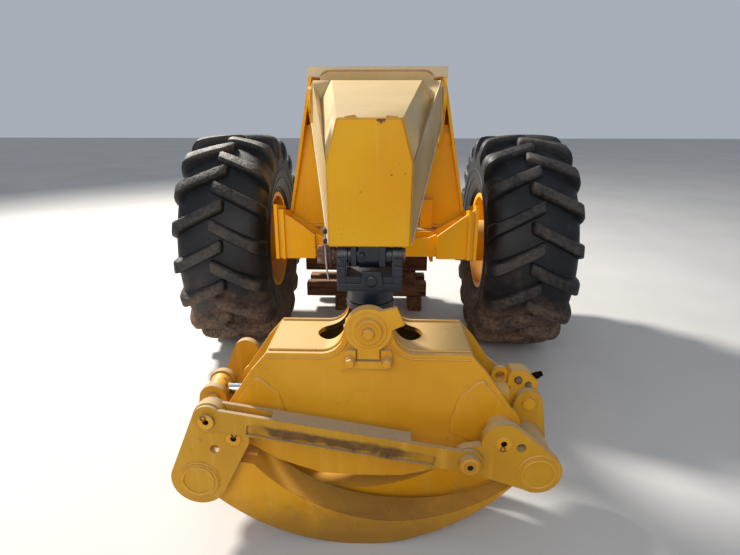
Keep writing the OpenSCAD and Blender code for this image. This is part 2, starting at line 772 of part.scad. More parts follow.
// A bar under the hanger pin's neck with a post on either side of it
module pin_keeper() {
    post_h = 76;
    color(yellow) union() {
        cross_plate(front_y - 24, 24 - face_gap) translate([0, keeper_z]) union() {
            translate([-90, 0]) square([180, 30]);
            for (s = [-1, 1]) polygon([[s * 48, 0], [s * 90, 0], [s * 90, post_h - 10], [s * 80, post_h], [s * 48, post_h]]);
        }
        for (s = [-1, 1]) shaft_y(front_y - 40, front_y - 20, 20, s * 69, keeper_z + 36);
    }
}

module tong_pins() {
    length = front_y + head_t + 40 - tong_front;
    color(steel) for (s = [-1, 1], y = [tong_front + 1, tong_back - 1 - length])
        shaft_y(y, y + length, tong_pin_r, s * tong_x, tong_z);
}

// Tongs

tube_at = [-tong_x - 152, tong_z - 192];
timing_left = [-tong_x - timing_out, tong_z + timing_up];
timing_right = [tong_x - timing_in, tong_z - timing_down];
ram_left = [-tong_x - ram_x, tong_z + ram_z];
ram_right = [tong_x + ram_x, tong_z + ram_z];
timing_pin_r = 24;
// Radius of the open hole in each tong's front plate
hole_r = 18;
ram_half = 45;
ram_pin_r = 26;
tube_right = [tong_x + 140, tong_z - 128];

module tong_body_2d(timing) {
    strap2d(tube_at[0], tube_at[1], 112, -tong_x, tong_z, 62);
    strap2d(tube_at[0], tube_at[1], 112, timing[0], timing[1], 60);
    polygon([tube_at, [-tong_x, tong_z], timing]);
}

module tong_left() {
    color(yellow) difference() {
        union() {
            for (y = [tong_front, tong_back - tong_t]) cross_plate(y, tong_t) tong_body_2d(timing_left);
            shaft_y(tong_front - 8, tong_back + 8, tube_r, tube_at[0], tube_at[1]);
            for (y = [ram_y - ram_half - 36, ram_y + ram_half + 6]) cross_plate(y, 30)
                strap2d(tube_at[0], tube_at[1], 100, ram_left[0], ram_left[1], 58);
            for (y = [ram_y - ram_half - 46, ram_y + ram_half + 6]) shaft_y(y, y + 40, 28, ram_left[0], ram_left[1]);
        }
        shaft_y(-3000, 0, tong_pin_r + run_gap, -tong_x, tong_z);
        shaft_y(tong_front - 20, tong_front + tong_t + 20, timing_pin_r + run_gap, timing_left[0], timing_left[1]);
        shaft_y(-3000, 0, hole_r, -tong_x - 77, tong_z - 48);
    }
}

// Centres of the tines' outer and inner curves; the right tine is drawn as if it were on the left
tine_in_r = tine_r - 104;
left_out_c = [-42, tong_z - tine_drop + tine_r];
left_in_c = left_out_c + [160, 18];
right_out_c = left_out_c + [-8, 14];
right_in_c = right_out_c + [155, 20];
// How far each tine's tip lies beyond the centre of its outer curve
left_reach = 632;
right_reach = 606;

module tine_2d(out_c, in_c, reach) {
    difference() {
        intersection() {
            translate(out_c) circle(tine_r, $fn = 200);
            translate(out_c) polygon([[-678, -564], [-598, -462], [-458, -454], [42, -554], [reach, -562],
                [reach + 30, -tine_r], [42, -tine_r - 20], [-658, -tine_r]]);
        }
        translate(in_c) circle(tine_in_r, $fn = 200);
    }
}

module tine(y0, w, out_c, in_c, reach) {
    intersection() {
        cross_plate(y0, w) tine_2d(out_c, in_c, reach);
        translate([0, 0, -50]) linear_extrude(700) polygon([[-760, y0], [100, y0], [640, y0 + w * 0.3],
            [640, y0 + w * 0.7], [100, y0 + w], [-760, y0 + w]]);
    }
}

module tines_left() {
    color(yellow) difference() {
        for (y = [grapple_y - 105 - tine_w, grapple_y + 105]) tine(y, tine_w, left_out_c, left_in_c, left_reach);
        shaft_y(-3000, 0, tube_r + face_gap, tube_at[0], tube_at[1]);
    }
}

module ram_ears_right(gap) {
    for (y = [ram_y - ram_half - 36, ram_y + ram_half + 6]) cross_plate(y - gap, 30 + 2 * gap)
        strap2d(tube_right[0], tube_right[1], 92 + gap, ram_right[0], ram_right[1], 58 + gap);
}

module tong_right() {
    color(yellow) difference() {
        union() {
            for (y = [tong_front, tong_back - tong_t]) cross_plate(y, tong_t) union() {
                strap2d(tube_right[0], tube_right[1], 92, tong_x, tong_z, 84);
                translate(timing_right) circle(56);
                polygon([timing_right + [-10, -54], tube_right + [-15, -90], [tong_x + 75, tong_z + 20],
                    timing_right + [-10, 54]]);
            }
            shaft_y(tong_front - 8, tong_back + 8, tube_r, tube_right[0], tube_right[1]);
            ram_ears_right(0);
        }
        shaft_y(-3000, 0, tong_pin_r + run_gap, tong_x, tong_z);
        shaft_y(tong_front - 20, tong_front + tong_t + 20, hole_r, tong_x + 67, tong_z - 16);
        shaft_y(ram_y - 200, ram_y + 200, ram_pin_r + run_gap, ram_right[0], ram_right[1]);
    }
}

module tine_right() {
    color(yellow) difference() {
        scale([-1, 1, 1]) tine(grapple_y - tine_w / 2, tine_w, right_out_c, right_in_c, right_reach);
        shaft_y(-3000, 0, tube_r + face_gap, tube_right[0], tube_right[1]);
        ram_ears_right(face_gap);
    }
}

// Crossed timing link

module timing_link() {
    f = tong_front - fork_gap - fork_t;
    b = tong_front + tong_t + fork_gap;
    reach = timing_right - timing_left;
    dir = reach / norm(reach);
    up = [-dir[1], dir[0]];
    half = 45;
    a = timing_left + dir * 235;
    e = timing_right - dir * 232;
    eye_r = 56;
    pocket = 12;
    p0 = timing_left + dir * 150;
    p1 = timing_right - dir * 130;
    color(yellow) difference() {
        union() {
            cross_plate(f, fork_t) union() {
                circle_at(timing_left[0], timing_left[1], eye_r);
                circle_at(timing_right[0], timing_right[1], eye_r - 2);
                polygon([timing_left + up * half, timing_right + up * half, timing_right - up * half,
                    timing_left - up * half]);
            }
            cross_plate(b, fork_t) union() {
                circle_at(timing_left[0], timing_left[1], eye_r);
                polygon([timing_left + up * half, e + up * half, e - up * 24, timing_left - up * 24]);
            }
            cross_plate(f + fork_t - 1, b - f - fork_t + 2) polygon([a + up * half, e + up * half,
                e - up * half, a - up * half]);
            shaft_y(f - 14, b + fork_t + 6, timing_pin_r, timing_left[0], timing_left[1]);
            shaft_y(f - 20, f + 1, eye_r - 14, timing_right[0], timing_right[1]);
            shaft_y(f - 28, f, timing_pin_r, timing_right[0], timing_right[1]);
        }
        cross_plate(f - 1, pocket + 1) polygon([p0 + up * 4, p1 + up * 4, p1 - up * 38, p0 - up * 38]);
    }
}

// Grapple cylinder

ram_y = grapple_y + 20;
ram_len = ram_right[0] - ram_left[0];
ram_barrel_l = 700;

module ram_barrel() {
    color(yellow) translate([ram_right[0], ram_y, ram_right[1]]) rotate([0, -90, 0]) difference() {
        union() {
            rotate([90, 0, 0]) cylinder(h = 2 * ram_half, r = 50, center = true);
            translate([-40, -ram_half, 0]) cube([80, 2 * ram_half, 84]);
            translate([0, 0, 76]) cylinder(h = ram_barrel_l - 76, r = ram_r);
        }
        rotate([90, 0, 0]) cylinder(h = 200, r = ram_pin_r + run_gap, center = true);
        translate([0, 0, 100]) cylinder(h = 2000, r = ram_rod_r + run_gap);
    }
}

module ram_pin() {
    half = ram_half + 46;
    color(steel) shaft_y(ram_y - half, ram_y + half, ram_pin_r, ram_right[0], ram_right[1]);
}

// A port block over the barrel's hub, and a standing lifting ring beside it
module ram_ports() {
    ring_at = [ram_right[0] - 112, ram_right[1] + 90];
    color(yellow) difference() {
        union() {
            cross_plate(ram_y - 35, 70) translate(ram_right) polygon([[-82, 30], [-82, 96], [-70, 124], [-12, 124],
                [44, 76], [44, 20], [0, 30]]);
            cross_plate(ram_y - 12, 24) difference() {
                union() {
                    circle_at(ring_at[0], ring_at[1], 38);
                    translate(ring_at - [24, 60]) square([48, 60]);
                }
                circle_at(ring_at[0], ring_at[1], 20);
            }
        }
        shaft_x(0, ram_right[0] - 70, ram_r + face_gap, ram_y, ram_right[1]);
        shaft_y(ram_y - 100, ram_y + 100, 50 + face_gap, ram_right[0], ram_right[1]);
        translate([ram_right[0] - 84, ram_y - ram_half - face_gap, ram_right[1] - 40])
            cube([84, 2 * (ram_half + face_gap), 80 + face_gap]);
    }
}

module ram_rod() {
    color(steel) translate([ram_left[0], ram_y, ram_left[1]]) rotate([0, 90, 0]) union() {
        rotate([90, 0, 0]) difference() {
            cylinder(h = 90, r = 50, center = true);
            cylinder(h = 100, r = 26, center = true);
        }
        translate([0, 0, 40]) cylinder(h = ram_len - ram_barrel_l + 75, r = ram_rod_r);
    }
}

// Timber crib under the nose

module crib() {
    y0 = deck_y1 - 180;
    layers = 5;
    high = (rail_z - hinge_t - 2 * face_gap) / layers;
    along_x = [330, 0, 270, 0, 210];
    color(wood) union() for (k = [0:layers - 1]) {
        if (k % 2 == 0) for (s = [-1, 1]) translate([s * along_x[k] - timber / 2, y0 - 40, k * high])
            cube([timber, 440, high]);
        else for (y = [y0, y0 + 360 - timber]) translate([-timber_l * 0.6, y, k * high])
            cube([timber_l, timber, high]);
    }
}

rear_frame();
nose_box();
deck_plate();
frame_hinge();
foot_bracket();
axle_housing();
differential();
drive_flange();
arch();
arch_hood();
boom_pivot_pin();
wing(-1);  // wing_left
wing(1);  // wing_right
rear_beam();
crib();
hub(-1);  // hub_left
rim(-1);  // rim_left
tyre(-1);  // tyre_left
hub(1);  // hub_right
rim(1);  // rim_right
tyre(1);  // tyre_right
boom_shell();
boom_root();
boom_cap();
tip_lug();
lift_barrel();
lift_rod();
link();
link_pin();
rotator_housing();
rotator_shaft();
hanger_yoke();
head_shell();
hanger_pin();
pin_keeper();
tong_pins();
tong_left();
tines_left();
tong_right();
tine_right();
timing_link();
ram_pin();
ram_barrel();
ram_ports();
ram_rod();
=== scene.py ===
import math
import random

import bmesh
import bpy
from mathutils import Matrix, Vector


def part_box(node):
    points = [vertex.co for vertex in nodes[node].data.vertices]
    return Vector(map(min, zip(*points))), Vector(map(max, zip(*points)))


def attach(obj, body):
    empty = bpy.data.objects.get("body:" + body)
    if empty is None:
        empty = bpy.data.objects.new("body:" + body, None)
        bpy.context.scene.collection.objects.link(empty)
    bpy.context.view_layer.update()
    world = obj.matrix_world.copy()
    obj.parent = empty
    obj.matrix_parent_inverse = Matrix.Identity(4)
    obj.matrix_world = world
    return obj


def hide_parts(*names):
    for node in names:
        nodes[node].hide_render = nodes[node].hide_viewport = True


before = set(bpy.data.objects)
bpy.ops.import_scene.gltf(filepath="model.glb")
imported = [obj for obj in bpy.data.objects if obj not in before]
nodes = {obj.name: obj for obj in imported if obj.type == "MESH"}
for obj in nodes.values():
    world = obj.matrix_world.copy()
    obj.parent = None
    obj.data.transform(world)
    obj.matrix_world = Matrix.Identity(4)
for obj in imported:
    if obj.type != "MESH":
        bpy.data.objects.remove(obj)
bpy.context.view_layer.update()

# Sizes and places in metres, as the CAD has them. A pair is X and Z.
AXLE_Y, AXLE_Z = 0.555, 0.785
WHEEL_X = 1.015
GRAPPLE_Y = -1.335
HEAD_FRONT, HEAD_BACK = GRAPPLE_Y - 0.175, GRAPPLE_Y + 0.175
TONG_FRONT, TONG_BACK = GRAPPLE_Y - 0.290, GRAPPLE_Y + 0.290
HANGER_Z = 0.955
TONG_X, TONG_Z = 0.515, 0.540
TUBE_LEFT = (-0.667, 0.348)
TUBE_RIGHT = (0.655, 0.412)
LINK_LEFT = (-0.601, 0.636)
LINK_RIGHT = (0.386, 0.466)
LINK_LENGTH = math.dist(LINK_LEFT, LINK_RIGHT)
LINK_AXIS = tuple((right - left) / LINK_LENGTH for left, right in zip(LINK_LEFT, LINK_RIGHT))
RAM_RIGHT = (0.664, 0.576)
RAM_Y = GRAPPLE_Y + 0.020
TIP_Y, TIP_Z = -1.335, 1.195
BOOM_TIP_Y = -1.390
BOOM_ROOT_Y = -0.070

# The boom's folded section from its tip to its root: Y, then X and Z of the top corner, the foot of the
# bevel, the top of the side and the foot of the side
BOOM_SECTIONS = [
    (BOOM_TIP_Y, (0.117, 1.711), (0.158, 1.556), (0.1586, 1.553), (0.154, 1.244)),
    (-0.950, (0.1666, 1.775), (0.2160, 1.641), (0.2300, 1.668), (0.2313, 1.381)),
    (-0.200, (0.2513, 1.884), (0.3160, 1.795), (0.3570, 1.868), (0.3632, 1.6145)),
    (BOOM_ROOT_Y - 0.0005, (0.2660, 1.903), (0.2700, 1.9015), (0.3760, 1.900), (0.3860, 1.655))]

REARWARDS = (0, -1, 0)
SIDES = ((-1, "left"), (1, "right"))

# The camera stands behind the machine at head height. Its focal length is in pixels, as the photograph's
# width is, and it looks down and to the left by these degrees.
PHOTO_WIDTH = 740
FOCAL_LENGTH = 509.0
SENSOR = 36.0
CAMERA_PLACE = (0.06, -3.265, 1.74)
CAMERA_DOWN, CAMERA_LEFT = 18.3, 1.784


def camera():
    data = bpy.data.cameras.new("camera")
    data.sensor_width = SENSOR
    data.lens = SENSOR * FOCAL_LENGTH / PHOTO_WIDTH
    data.clip_start, data.clip_end = 0.05, 200.0
    eye = bpy.data.objects.new("camera", data)
    eye.location = CAMERA_PLACE
    eye.rotation_euler = (math.radians(90 - CAMERA_DOWN), 0.0, math.radians(CAMERA_LEFT))
    bpy.context.scene.collection.objects.link(eye)
    bpy.context.scene.camera = eye


# Materials

class Field:
    """A number that varies over a surface. Arithmetic on it adds Math nodes."""

    def __init__(self, finish, socket):
        self.finish, self.socket = finish, socket

    def math(self, operation, *values, clamp=False):
        return self.finish.node("Math", {"operation": operation, "use_clamp": clamp}, *values)

    def __add__(self, other):
        return self.math("ADD", self, other)

    def __radd__(self, other):
        return self.math("ADD", other, self)

    def __sub__(self, other):
        return self.math("SUBTRACT", self, other)

    def __rsub__(self, other):
        return self.math("SUBTRACT", other, self)

    def __mul__(self, other):
        return self.math("MULTIPLY", self, other)

    def __rmul__(self, other):
        return self.math("MULTIPLY", other, self)

    def __pow__(self, other):
        return self.math("POWER", self, other)

    def clamped(self):
        return self.math("ADD", self, 0.0, clamp=True)

    def larger(self, other):
        return self.math("MAXIMUM", self, other)

    def between(self, low, high):
        """0 below low, 1 above high, and smooth between; the other way round where low is above high."""
        return self.finish.node("MapRange", {"interpolation_type": "SMOOTHSTEP"}, self, low, high, 0.0, 1.0)


class Finish:
    """One material, and the fields that its colour, roughness and relief are made of."""

    def __init__(self, name):
        self.material = bpy.data.materials.new(name)
        self.material.use_nodes = True
        self.tree = self.material.node_tree
        self.tree.nodes.clear()
        self.spot = self.node("TexCoord", out="Object")
        self.facing = self.node("TexCoord", out="Normal")

    def join(self, socket, value):
        if isinstance(value, Field):
            self.tree.links.new(value.socket, socket)
        elif socket.type == "RGBA" and len(value) == 3:
            socket.default_value = (*value, 1.0)
        else:
            socket.default_value = value

    def node(self, kind, settings=None, *values, out=0, **named):
        """A node of one kind. Sockets are filled in their order by values, and by their names by named."""
        made = self.tree.nodes.new("ShaderNode" + kind)
        for key, setting in (settings or {}).items():
            setattr(made, key, setting)
        by_name = [(key.replace("_", " "), value) for key, value in named.items()]
        for key, value in [*enumerate(values), *by_name]:
            if value is not None:
                self.join(made.inputs[key], value)
        return Field(self, made.outputs[out]) if made.outputs else None

    def part(self, vector, axis):
        """One coordinate of a vector that varies."""
        return self.node("SeparateXYZ", None, vector, out="XYZ".index(axis))

    def stretched(self, x, y, z):
        """The place on the object, scaled along each axis, for grain and streaks."""
        return self.node("VectorMath", {"operation": "MULTIPLY"}, self.spot, (x, y, z))

    def noise(self, scale, detail=4.0, rough=0.55, twist=0.0, at=None):
        return self.node("TexNoise", None, Vector=at or self.spot, Scale=scale, Detail=detail,
                         Roughness=rough, Distortion=twist)

    def edges(self, width):
        """1 on edges and corners, 0 on flats."""
        soft = self.node("Bevel", {"samples": 4}, width)
        true = self.node("NewGeometry", out="Normal")
        return (1.0 - self.node("VectorMath", {"operation": "DOT_PRODUCT"}, soft, true, out=1)).clamped()

    def hollows(self, reach):
        """1 in corners and under ledges, 0 in the open."""
        return 1.0 - self.node("AmbientOcclusion", {"samples": 6}, Distance=reach, out="AO")

    def mixed(self, mask, below, above):
        """The colour below, with the colour above laid over it by the mask."""
        # A Mix node has five sockets for other kinds of values between its factor and its colours
        others = [None] * 5
        settings = {"data_type": "RGBA", "clamp_factor": True}
        return self.node("Mix", settings, mask, *others, below, above, out=2)

    def relief(self, height, depth):
        return self.node("Bump", None, Strength=1.0, Distance=depth, Height=height)

    def surface(self, colour, roughness, metallic=0.0, normal=None, coat=0.0, specular=0.5):
        shader = self.node("BsdfPrincipled", None, Base_Color=colour, Roughness=roughness, Metallic=metallic,
                           Normal=normal, Coat_Weight=coat, Specular_IOR_Level=specular)
        self.node("OutputMaterial", None, Surface=shader)
        return self.material


# Colours, as linear red, green and blue
GOLD = (0.62, 0.305, 0.014)
GOLD_DEEP = (0.54, 0.235, 0.008)
GOLD_LIGHT = (0.66, 0.38, 0.050)
CREAM = (0.62, 0.44, 0.18)
FOLD_HIGHLIGHT = (0.90, 0.84, 0.70)
DUST = (0.34, 0.27, 0.18)
RUST = (0.085, 0.032, 0.014)
RUST_LIGHT = (0.20, 0.105, 0.05)
GRIME_AND_LOW_SHADE = (0.075, 0.048, 0.026)
INSIDE_SHADE = (0.008, 0.006, 0.004)
MUD = (0.115, 0.068, 0.040)
MUD_DRY = (0.21, 0.135, 0.095)
EARTH_AND_SHADE = (0.085, 0.040, 0.016)
PIN_BORE_SHADE = (0.004, 0.003, 0.002)
CHROME = (0.62, 0.66, 0.74)
CHROME_FILM = (0.32, 0.27, 0.22)
CHROME_STAIN = (0.35, 0.30, 0.25)
STEEL = (0.36, 0.35, 0.34)
STEEL_BROWN, STEEL_BROWN_DARK = (0.16, 0.060, 0.024), (0.07, 0.032, 0.018)
CASTING, CASTING_BLUE = (0.0032, 0.0052, 0.0110), (0.0085, 0.0125, 0.0230)
CASTING_DUST, CASTING_BARE = (0.060, 0.062, 0.068), (0.10, 0.052, 0.028)
HOLE_SHADE_BLACK, OIL_BROWN = (0.0020, 0.0016, 0.0012), (0.012, 0.0075, 0.0045)
RUBBER, RUBBER_GREY = (0.0046, 0.0054, 0.0078), (0.0110, 0.0118, 0.0142)
RUBBER_SCUFFED, RUBBER_DUST_AND_SHEEN = (0.105, 0.090, 0.078), (0.080, 0.077, 0.080)
WOOD, WOOD_LIGHT = (0.070, 0.032, 0.017), (0.17, 0.088, 0.048)
WOOD_WORN, WOOD_SPLIT = (0.30, 0.20, 0.135), (0.022, 0.013, 0.009)
CONCRETE, CONCRETE_LIGHT = (0.50, 0.492, 0.478), (0.54, 0.532, 0.518)

# The timing link's pocket: where its earth and painted shade fade out across the link, and along it from the
# left pin. Then where the right pin's painted bore begins, from the pin's middle, and where its outer face
# does, in Y
POCKET_TOP, POCKET_FOOT = (0.022, 0.004), (-0.040, -0.026)
POCKET_START, POCKET_END = (0.14, 0.24), (0.84, 0.72)
BORE_EDGE = (0.0130, 0.0105)
PIN_FACE = (-1.6690, -1.6700)

# The head's inner faces, by the square of their distance from its middle plane, and the square of the half
# width that the painted shade takes in
HEAD_INSIDE = (0.0262, 0.0248)
SHADE_REACH = (0.13, 0.05)


def pocket_earth_and_shade(f, colour, soil, fine):
    """Earth and the painted shade of a recess along the timing link, and the painted shade of the bore of the
    pin at its right end.
    """
    x, y, z = f.part(f.spot, "X"), f.part(f.spot, "Y"), f.part(f.spot, "Z")
    from_left, above_left = x - LINK_LEFT[0], z - LINK_LEFT[1]
    ragged = (soil - 0.5) * 0.05 + (fine - 0.5) * 0.03
    across = above_left * LINK_AXIS[0] - from_left * LINK_AXIS[1] + ragged
    along = from_left * LINK_AXIS[0] + above_left * LINK_AXIS[1] + ragged * 3.0
    lane = across.between(*POCKET_TOP) * across.between(*POCKET_FOOT)
    reach = along.between(*POCKET_START) * along.between(*POCKET_END)
    # Earth and painted shade: a dark brown lane stands in for the soiled, shaded recess along the link.
    colour = f.mixed(lane * reach * (fine + soil).between(0.55, 1.05) * 0.9, colour, EARTH_AND_SHADE)
    from_right, above_right = x - LINK_RIGHT[0], z - LINK_RIGHT[1]
    radius = (from_right * from_right + above_right * above_right) ** 0.5
    # Painted shade: the right pin's bore is a near-black disc in the link's paint.
    return f.mixed(radius.between(*BORE_EDGE) * y.between(*PIN_FACE), colour, PIN_BORE_SHADE)


def head_inner_shade(f, colour, soil, _fine):
    """Painted shade on the inner faces of the head's two plates, near-black as seen through the slots."""
    x, y = f.part(f.spot, "X"), f.part(f.spot, "Y") - GRAPPLE_Y
    turned = f.part(f.facing, "Y")
    inner = (y * y).between(*HEAD_INSIDE) * (turned * turned).between(0.3, 0.6)
    # Painted shade: the inner faces go near-black where the mask called grease is high.
    grease = inner * (x * x + (soil - 0.5) * 0.06).between(*SHADE_REACH)
    return f.mixed(grease * 0.94, colour, INSIDE_SHADE)


def yellow_paint(name, sun, dirt, wear, tint=GOLD, deep=GOLD_DEEP, low=0.0, pale=0.0, marks=None):
    """Weathered machine paint: bleached where it faces the sky, streaked, chipped along its edges, and
    darkened towards the ground by the share called low, which is painted shade. Folds and edges get a painted
    highlight by the share called pale, and marks is a function that adds what lies on one piece only."""
    f = Finish(name)
    up = f.part(f.facing, "Z")
    broad = f.noise(1.9, 3.0)
    fine = f.noise(21.0, 6.0, 0.65)
    streaks = f.noise(1.0, 5.0, 0.6, at=f.stretched(26.0, 26.0, 1.6))
    colour = f.mixed(broad.between(0.35, 0.68), tint, deep)
    colour = f.mixed(streaks.between(0.50, 0.72) * 0.35, colour, GOLD_LIGHT)
    bleach = (up + (fine - 0.5) * 0.5 + (broad - 0.5) * 0.6).between(0.25, 0.95) * sun
    colour = f.mixed(bleach, colour, CREAM)
    soil = f.noise(5.5, 8.0, 0.7, 0.6)
    dusty = ((up * 0.5 + soil).between(0.62, 1.02) + f.hollows(0.06).between(0.45, 0.95) * 0.8) * dirt
    colour = f.mixed(dusty.clamped(), colour, DUST)
    stain_and_low_shade = (soil * fine).between(0.33, 0.46) * dirt * 0.8
    # Below about 0.3 m the paint is darkened by the share called low: painted shade near the ground.
    if low > 0.0:
        height = f.part(f.spot, "Z")
        stain_and_low_shade = stain_and_low_shade.larger((height + (soil - 0.5) * 0.30).between(0.30, 0.02) * low)
    colour = f.mixed(stain_and_low_shade, colour, GRIME_AND_LOW_SHADE)
    if marks:
        colour = marks(f, colour, soil, fine)
    edge = f.edges(0.010)
    # Painted highlight: edges and folds go pale by the share called pale.
    if pale > 0.0:
        fold_highlight = (edge * 1.4 + (fine - 0.5) * 0.4).between(0.35, 0.75)
        colour = f.mixed(fold_highlight * pale, colour, FOLD_HIGHLIGHT)
    chips = (edge * 1.9 + (f.noise(34.0, 5.0, 0.7) - 0.5) * 1.5).between(0.62, 0.86) * wear
    specks = (f.noise(75.0, 3.0, 0.5) + f.noise(6.0, 2.0) * 0.5).between(1.00, 1.05) * wear
    bare = chips.larger(specks).clamped()
    colour = f.mixed(bare, colour, f.mixed(fine.between(0.4, 0.6), RUST, RUST_LIGHT))
    rough = 0.44 + dusty * 0.30 + bleach * 0.16 + bare * 0.25 + (fine - 0.5) * 0.12
    height = fine * 0.12 + f.noise(190.0, 2.0) * 0.10 - bare * 0.8 + broad * 0.5
    return f.surface(colour, rough.clamped(), normal=f.relief(height, 0.0011), coat=0.05, specular=0.22)


def rod_with_eye(name, eye_end):
    """A cylinder rod: bright chrome, and yellow paint on its eye beyond eye_end along X."""
    f = Finish(name)
    painted = f.part(f.spot, "X").between(eye_end + 0.002, eye_end - 0.002)
    fine = f.noise(30.0, 6.0, 0.6)
    chrome = f.mixed((fine * f.noise(4.0)).between(0.28, 0.42), CHROME, CHROME_STAIN)
    yellow = f.mixed(fine.between(0.45, 0.75), GOLD, GRIME_AND_LOW_SHADE)
    return f.surface(f.mixed(painted, chrome, yellow), 0.16 + painted * 0.34 + (fine - 0.4) * 0.15,
                     metallic=1.0 - painted, normal=f.relief(fine * painted, 0.001))


def chrome_rod(name):
    """Bright chrome under an oily film."""
    f = Finish(name)
    film = (f.noise(24.0, 6.0, 0.6) * f.noise(3.0)).between(0.26, 0.42)
    colour = f.mixed(film, CHROME, CHROME_FILM)
    return f.surface(colour, 0.14 + film * 0.35, metallic=1.0 - film * 0.6,
                     normal=f.relief(f.noise(300.0, 2.0), 0.0001))


def dark_casting(name):
    """Blue-black painted casting, oily, with pale dust and a little rust."""
    f = Finish(name)
    up = f.part(f.facing, "Z")
    fine = f.noise(26.0, 7.0, 0.65)
    broad = f.noise(6.0, 4.0)
    colour = f.mixed(broad.between(0.35, 0.65), CASTING, CASTING_BLUE)
    dusty = (up * 0.45 + fine * 0.7 + broad * 0.3).between(0.60, 1.05)
    colour = f.mixed(dusty * 0.30, colour, CASTING_DUST)
    bare = (f.edges(0.008) * 1.6 + fine - 0.5).between(0.45, 0.70)
    colour = f.mixed(bare * 0.6, colour, CASTING_BARE)
    height = f.noise(120.0, 5.0, 0.7) * 0.6 + fine * 0.6
    return f.surface(colour, 0.34 + dusty * 0.36, normal=f.relief(height, 0.0016))


def hole_shadow(name):
    """Painted shade at the bottom of a hole: near-black, going oily brown in places."""
    f = Finish(name)
    greasy = f.noise(60.0, 4.0).between(0.35, 0.65)
    return f.surface(f.mixed(greasy, HOLE_SHADE_BLACK, OIL_BROWN), 0.95, specular=0.05)


def rusty_steel(name, bright=0.35):
    """Bare steel going brown."""
    f = Finish(name)
    fine = f.noise(38.0, 8.0, 0.7)
    broad = f.noise(9.0, 4.0)
    rust = (fine * 0.7 + broad * 0.5).between(bright, bright + 0.32)
    brown = f.mixed(broad.between(0.4, 0.6), STEEL_BROWN, STEEL_BROWN_DARK)
    return f.surface(f.mixed(rust, STEEL, brown), 0.36 + rust * 0.42, metallic=1.0 - rust * 0.9,
                     normal=f.relief(fine * rust + f.noise(150.0) * 0.2, 0.0014))


def tyre_rubber(name):
    """Black rubber with dusty lug faces, and dried mud that thickens towards the ground."""
    f = Finish(name)
    y, z = f.part(f.spot, "Y") - AXLE_Y, f.part(f.spot, "Z") - AXLE_Z
    radius = (y * y + z * z) ** 0.5
    crest = radius.between(0.742, 0.772)
    fine = f.noise(42.0, 8.0, 0.7)
    broad = f.noise(4.2, 5.0, 0.6)
    colour = f.mixed(broad.between(0.35, 0.7), RUBBER, RUBBER_GREY)
    scuffed = crest * (fine * 0.8 + broad * 0.7).between(0.55, 0.95)
    colour = f.mixed(scuffed * 0.62, colour, RUBBER_SCUFFED)
    # The film is partly dust and partly a painted sheen: it greys the rubber, more along edges, so that it
    # looks sunlit.
    film = (f.noise(9.0, 6.0, 0.65) + f.edges(0.012) * 0.6).between(0.52, 0.85)
    colour = f.mixed(film * 0.32, colour, RUBBER_DUST_AND_SHEEN)
    low = (z * -1.0 + (broad - 0.5) * 0.9).between(0.10, 0.60)
    caked = low * (fine * 0.8 + broad * 0.5).between(0.40, 0.72)
    colour = f.mixed(caked * 0.85, colour, f.mixed(fine.between(0.35, 0.65), MUD, MUD_DRY))
    rough = 0.52 + scuffed * 0.22 + film * 0.12 + caked * 0.3
    height = fine * 0.5 + caked * (f.noise(24.0, 6.0, 0.7) * 2.6) + scuffed * 0.5
    return f.surface(colour, rough.clamped(), normal=f.relief(height, 0.0030), specular=0.35)


# How much the timber's grain is squeezed along it and across it
GRAIN_LONG, GRAIN_FINE = 0.7, 13.0


def timber(name, along):
    """Squared timber with its grain along one axis, greyed on top, dark in its checks."""
    f = Finish(name)
    across = f.stretched(*(GRAIN_LONG if axis == along else GRAIN_FINE for axis in "XYZ"))
    rings = f.noise(1.6, 6.0, 0.6, 1.1, at=across)
    fibre = f.noise(9.0, 6.0, 0.7, at=across)
    up = f.part(f.facing, "Z")
    colour = f.mixed(rings.between(0.35, 0.66), WOOD, WOOD_LIGHT)
    colour = f.mixed((fibre * 0.8 + up * 0.4).between(0.45, 1.0) * 0.55, colour, WOOD_WORN)
    split = (1.0 - f.noise(2.6, 3.0, 0.5, 0.3, at=across)).between(0.62, 0.68)
    colour = f.mixed(split, colour, WOOD_SPLIT)
    height = fibre * 0.6 + rings * 0.4 - split * 1.6
    return f.surface(colour, 0.86, normal=f.relief(height, 0.004), specular=0.2)


def pale_floor(name):
    f = Finish(name)
    colour = f.mixed(f.noise(0.7, 3.0).between(0.3, 0.7), CONCRETE, CONCRETE_LIGHT)
    return f.surface(colour, 0.85, specular=0.25)


# Shapes

# Where a point of an outline goes, at a distance across the outline's plane
PLANES = {"XZ": lambda a, b, across: (a, across, b),
          "YZ": lambda a, b, across: (across, a, b),
          "XY": lambda a, b, across: (a, b, across)}

# A hexagon's width across its flats over its corners' radius, and how far a bolt's head is turned
HEXAGON = 1.732
HEAD_TURN = 0.3


def turns(count, start=0.0):
    """Angles round a full circle, in radians."""
    return [2 * math.pi * k / count + start for k in range(count)]


def spun(centre, turn, radius, angle, depth=0.0):
    """A point at a radius and an angle about an axis, at a depth along it."""
    return centre + turn @ Vector((radius * math.cos(angle), radius * math.sin(angle), depth))


def arc(x, z, r, start, end, steps=16):
    """Points on a circle in a plane, from one angle to another, in degrees."""
    angles = [math.radians(start + (end - start) * k / steps) for k in range(steps + 1)]
    return [(x + r * math.cos(t), z + r * math.sin(t)) for t in angles]


def around(x, z, r, y, steps=28):
    """A closed path round a boss, standing across Y."""
    return [(a, y, b) for a, b in arc(x, z, r, 0, 360, steps)[:-1]]


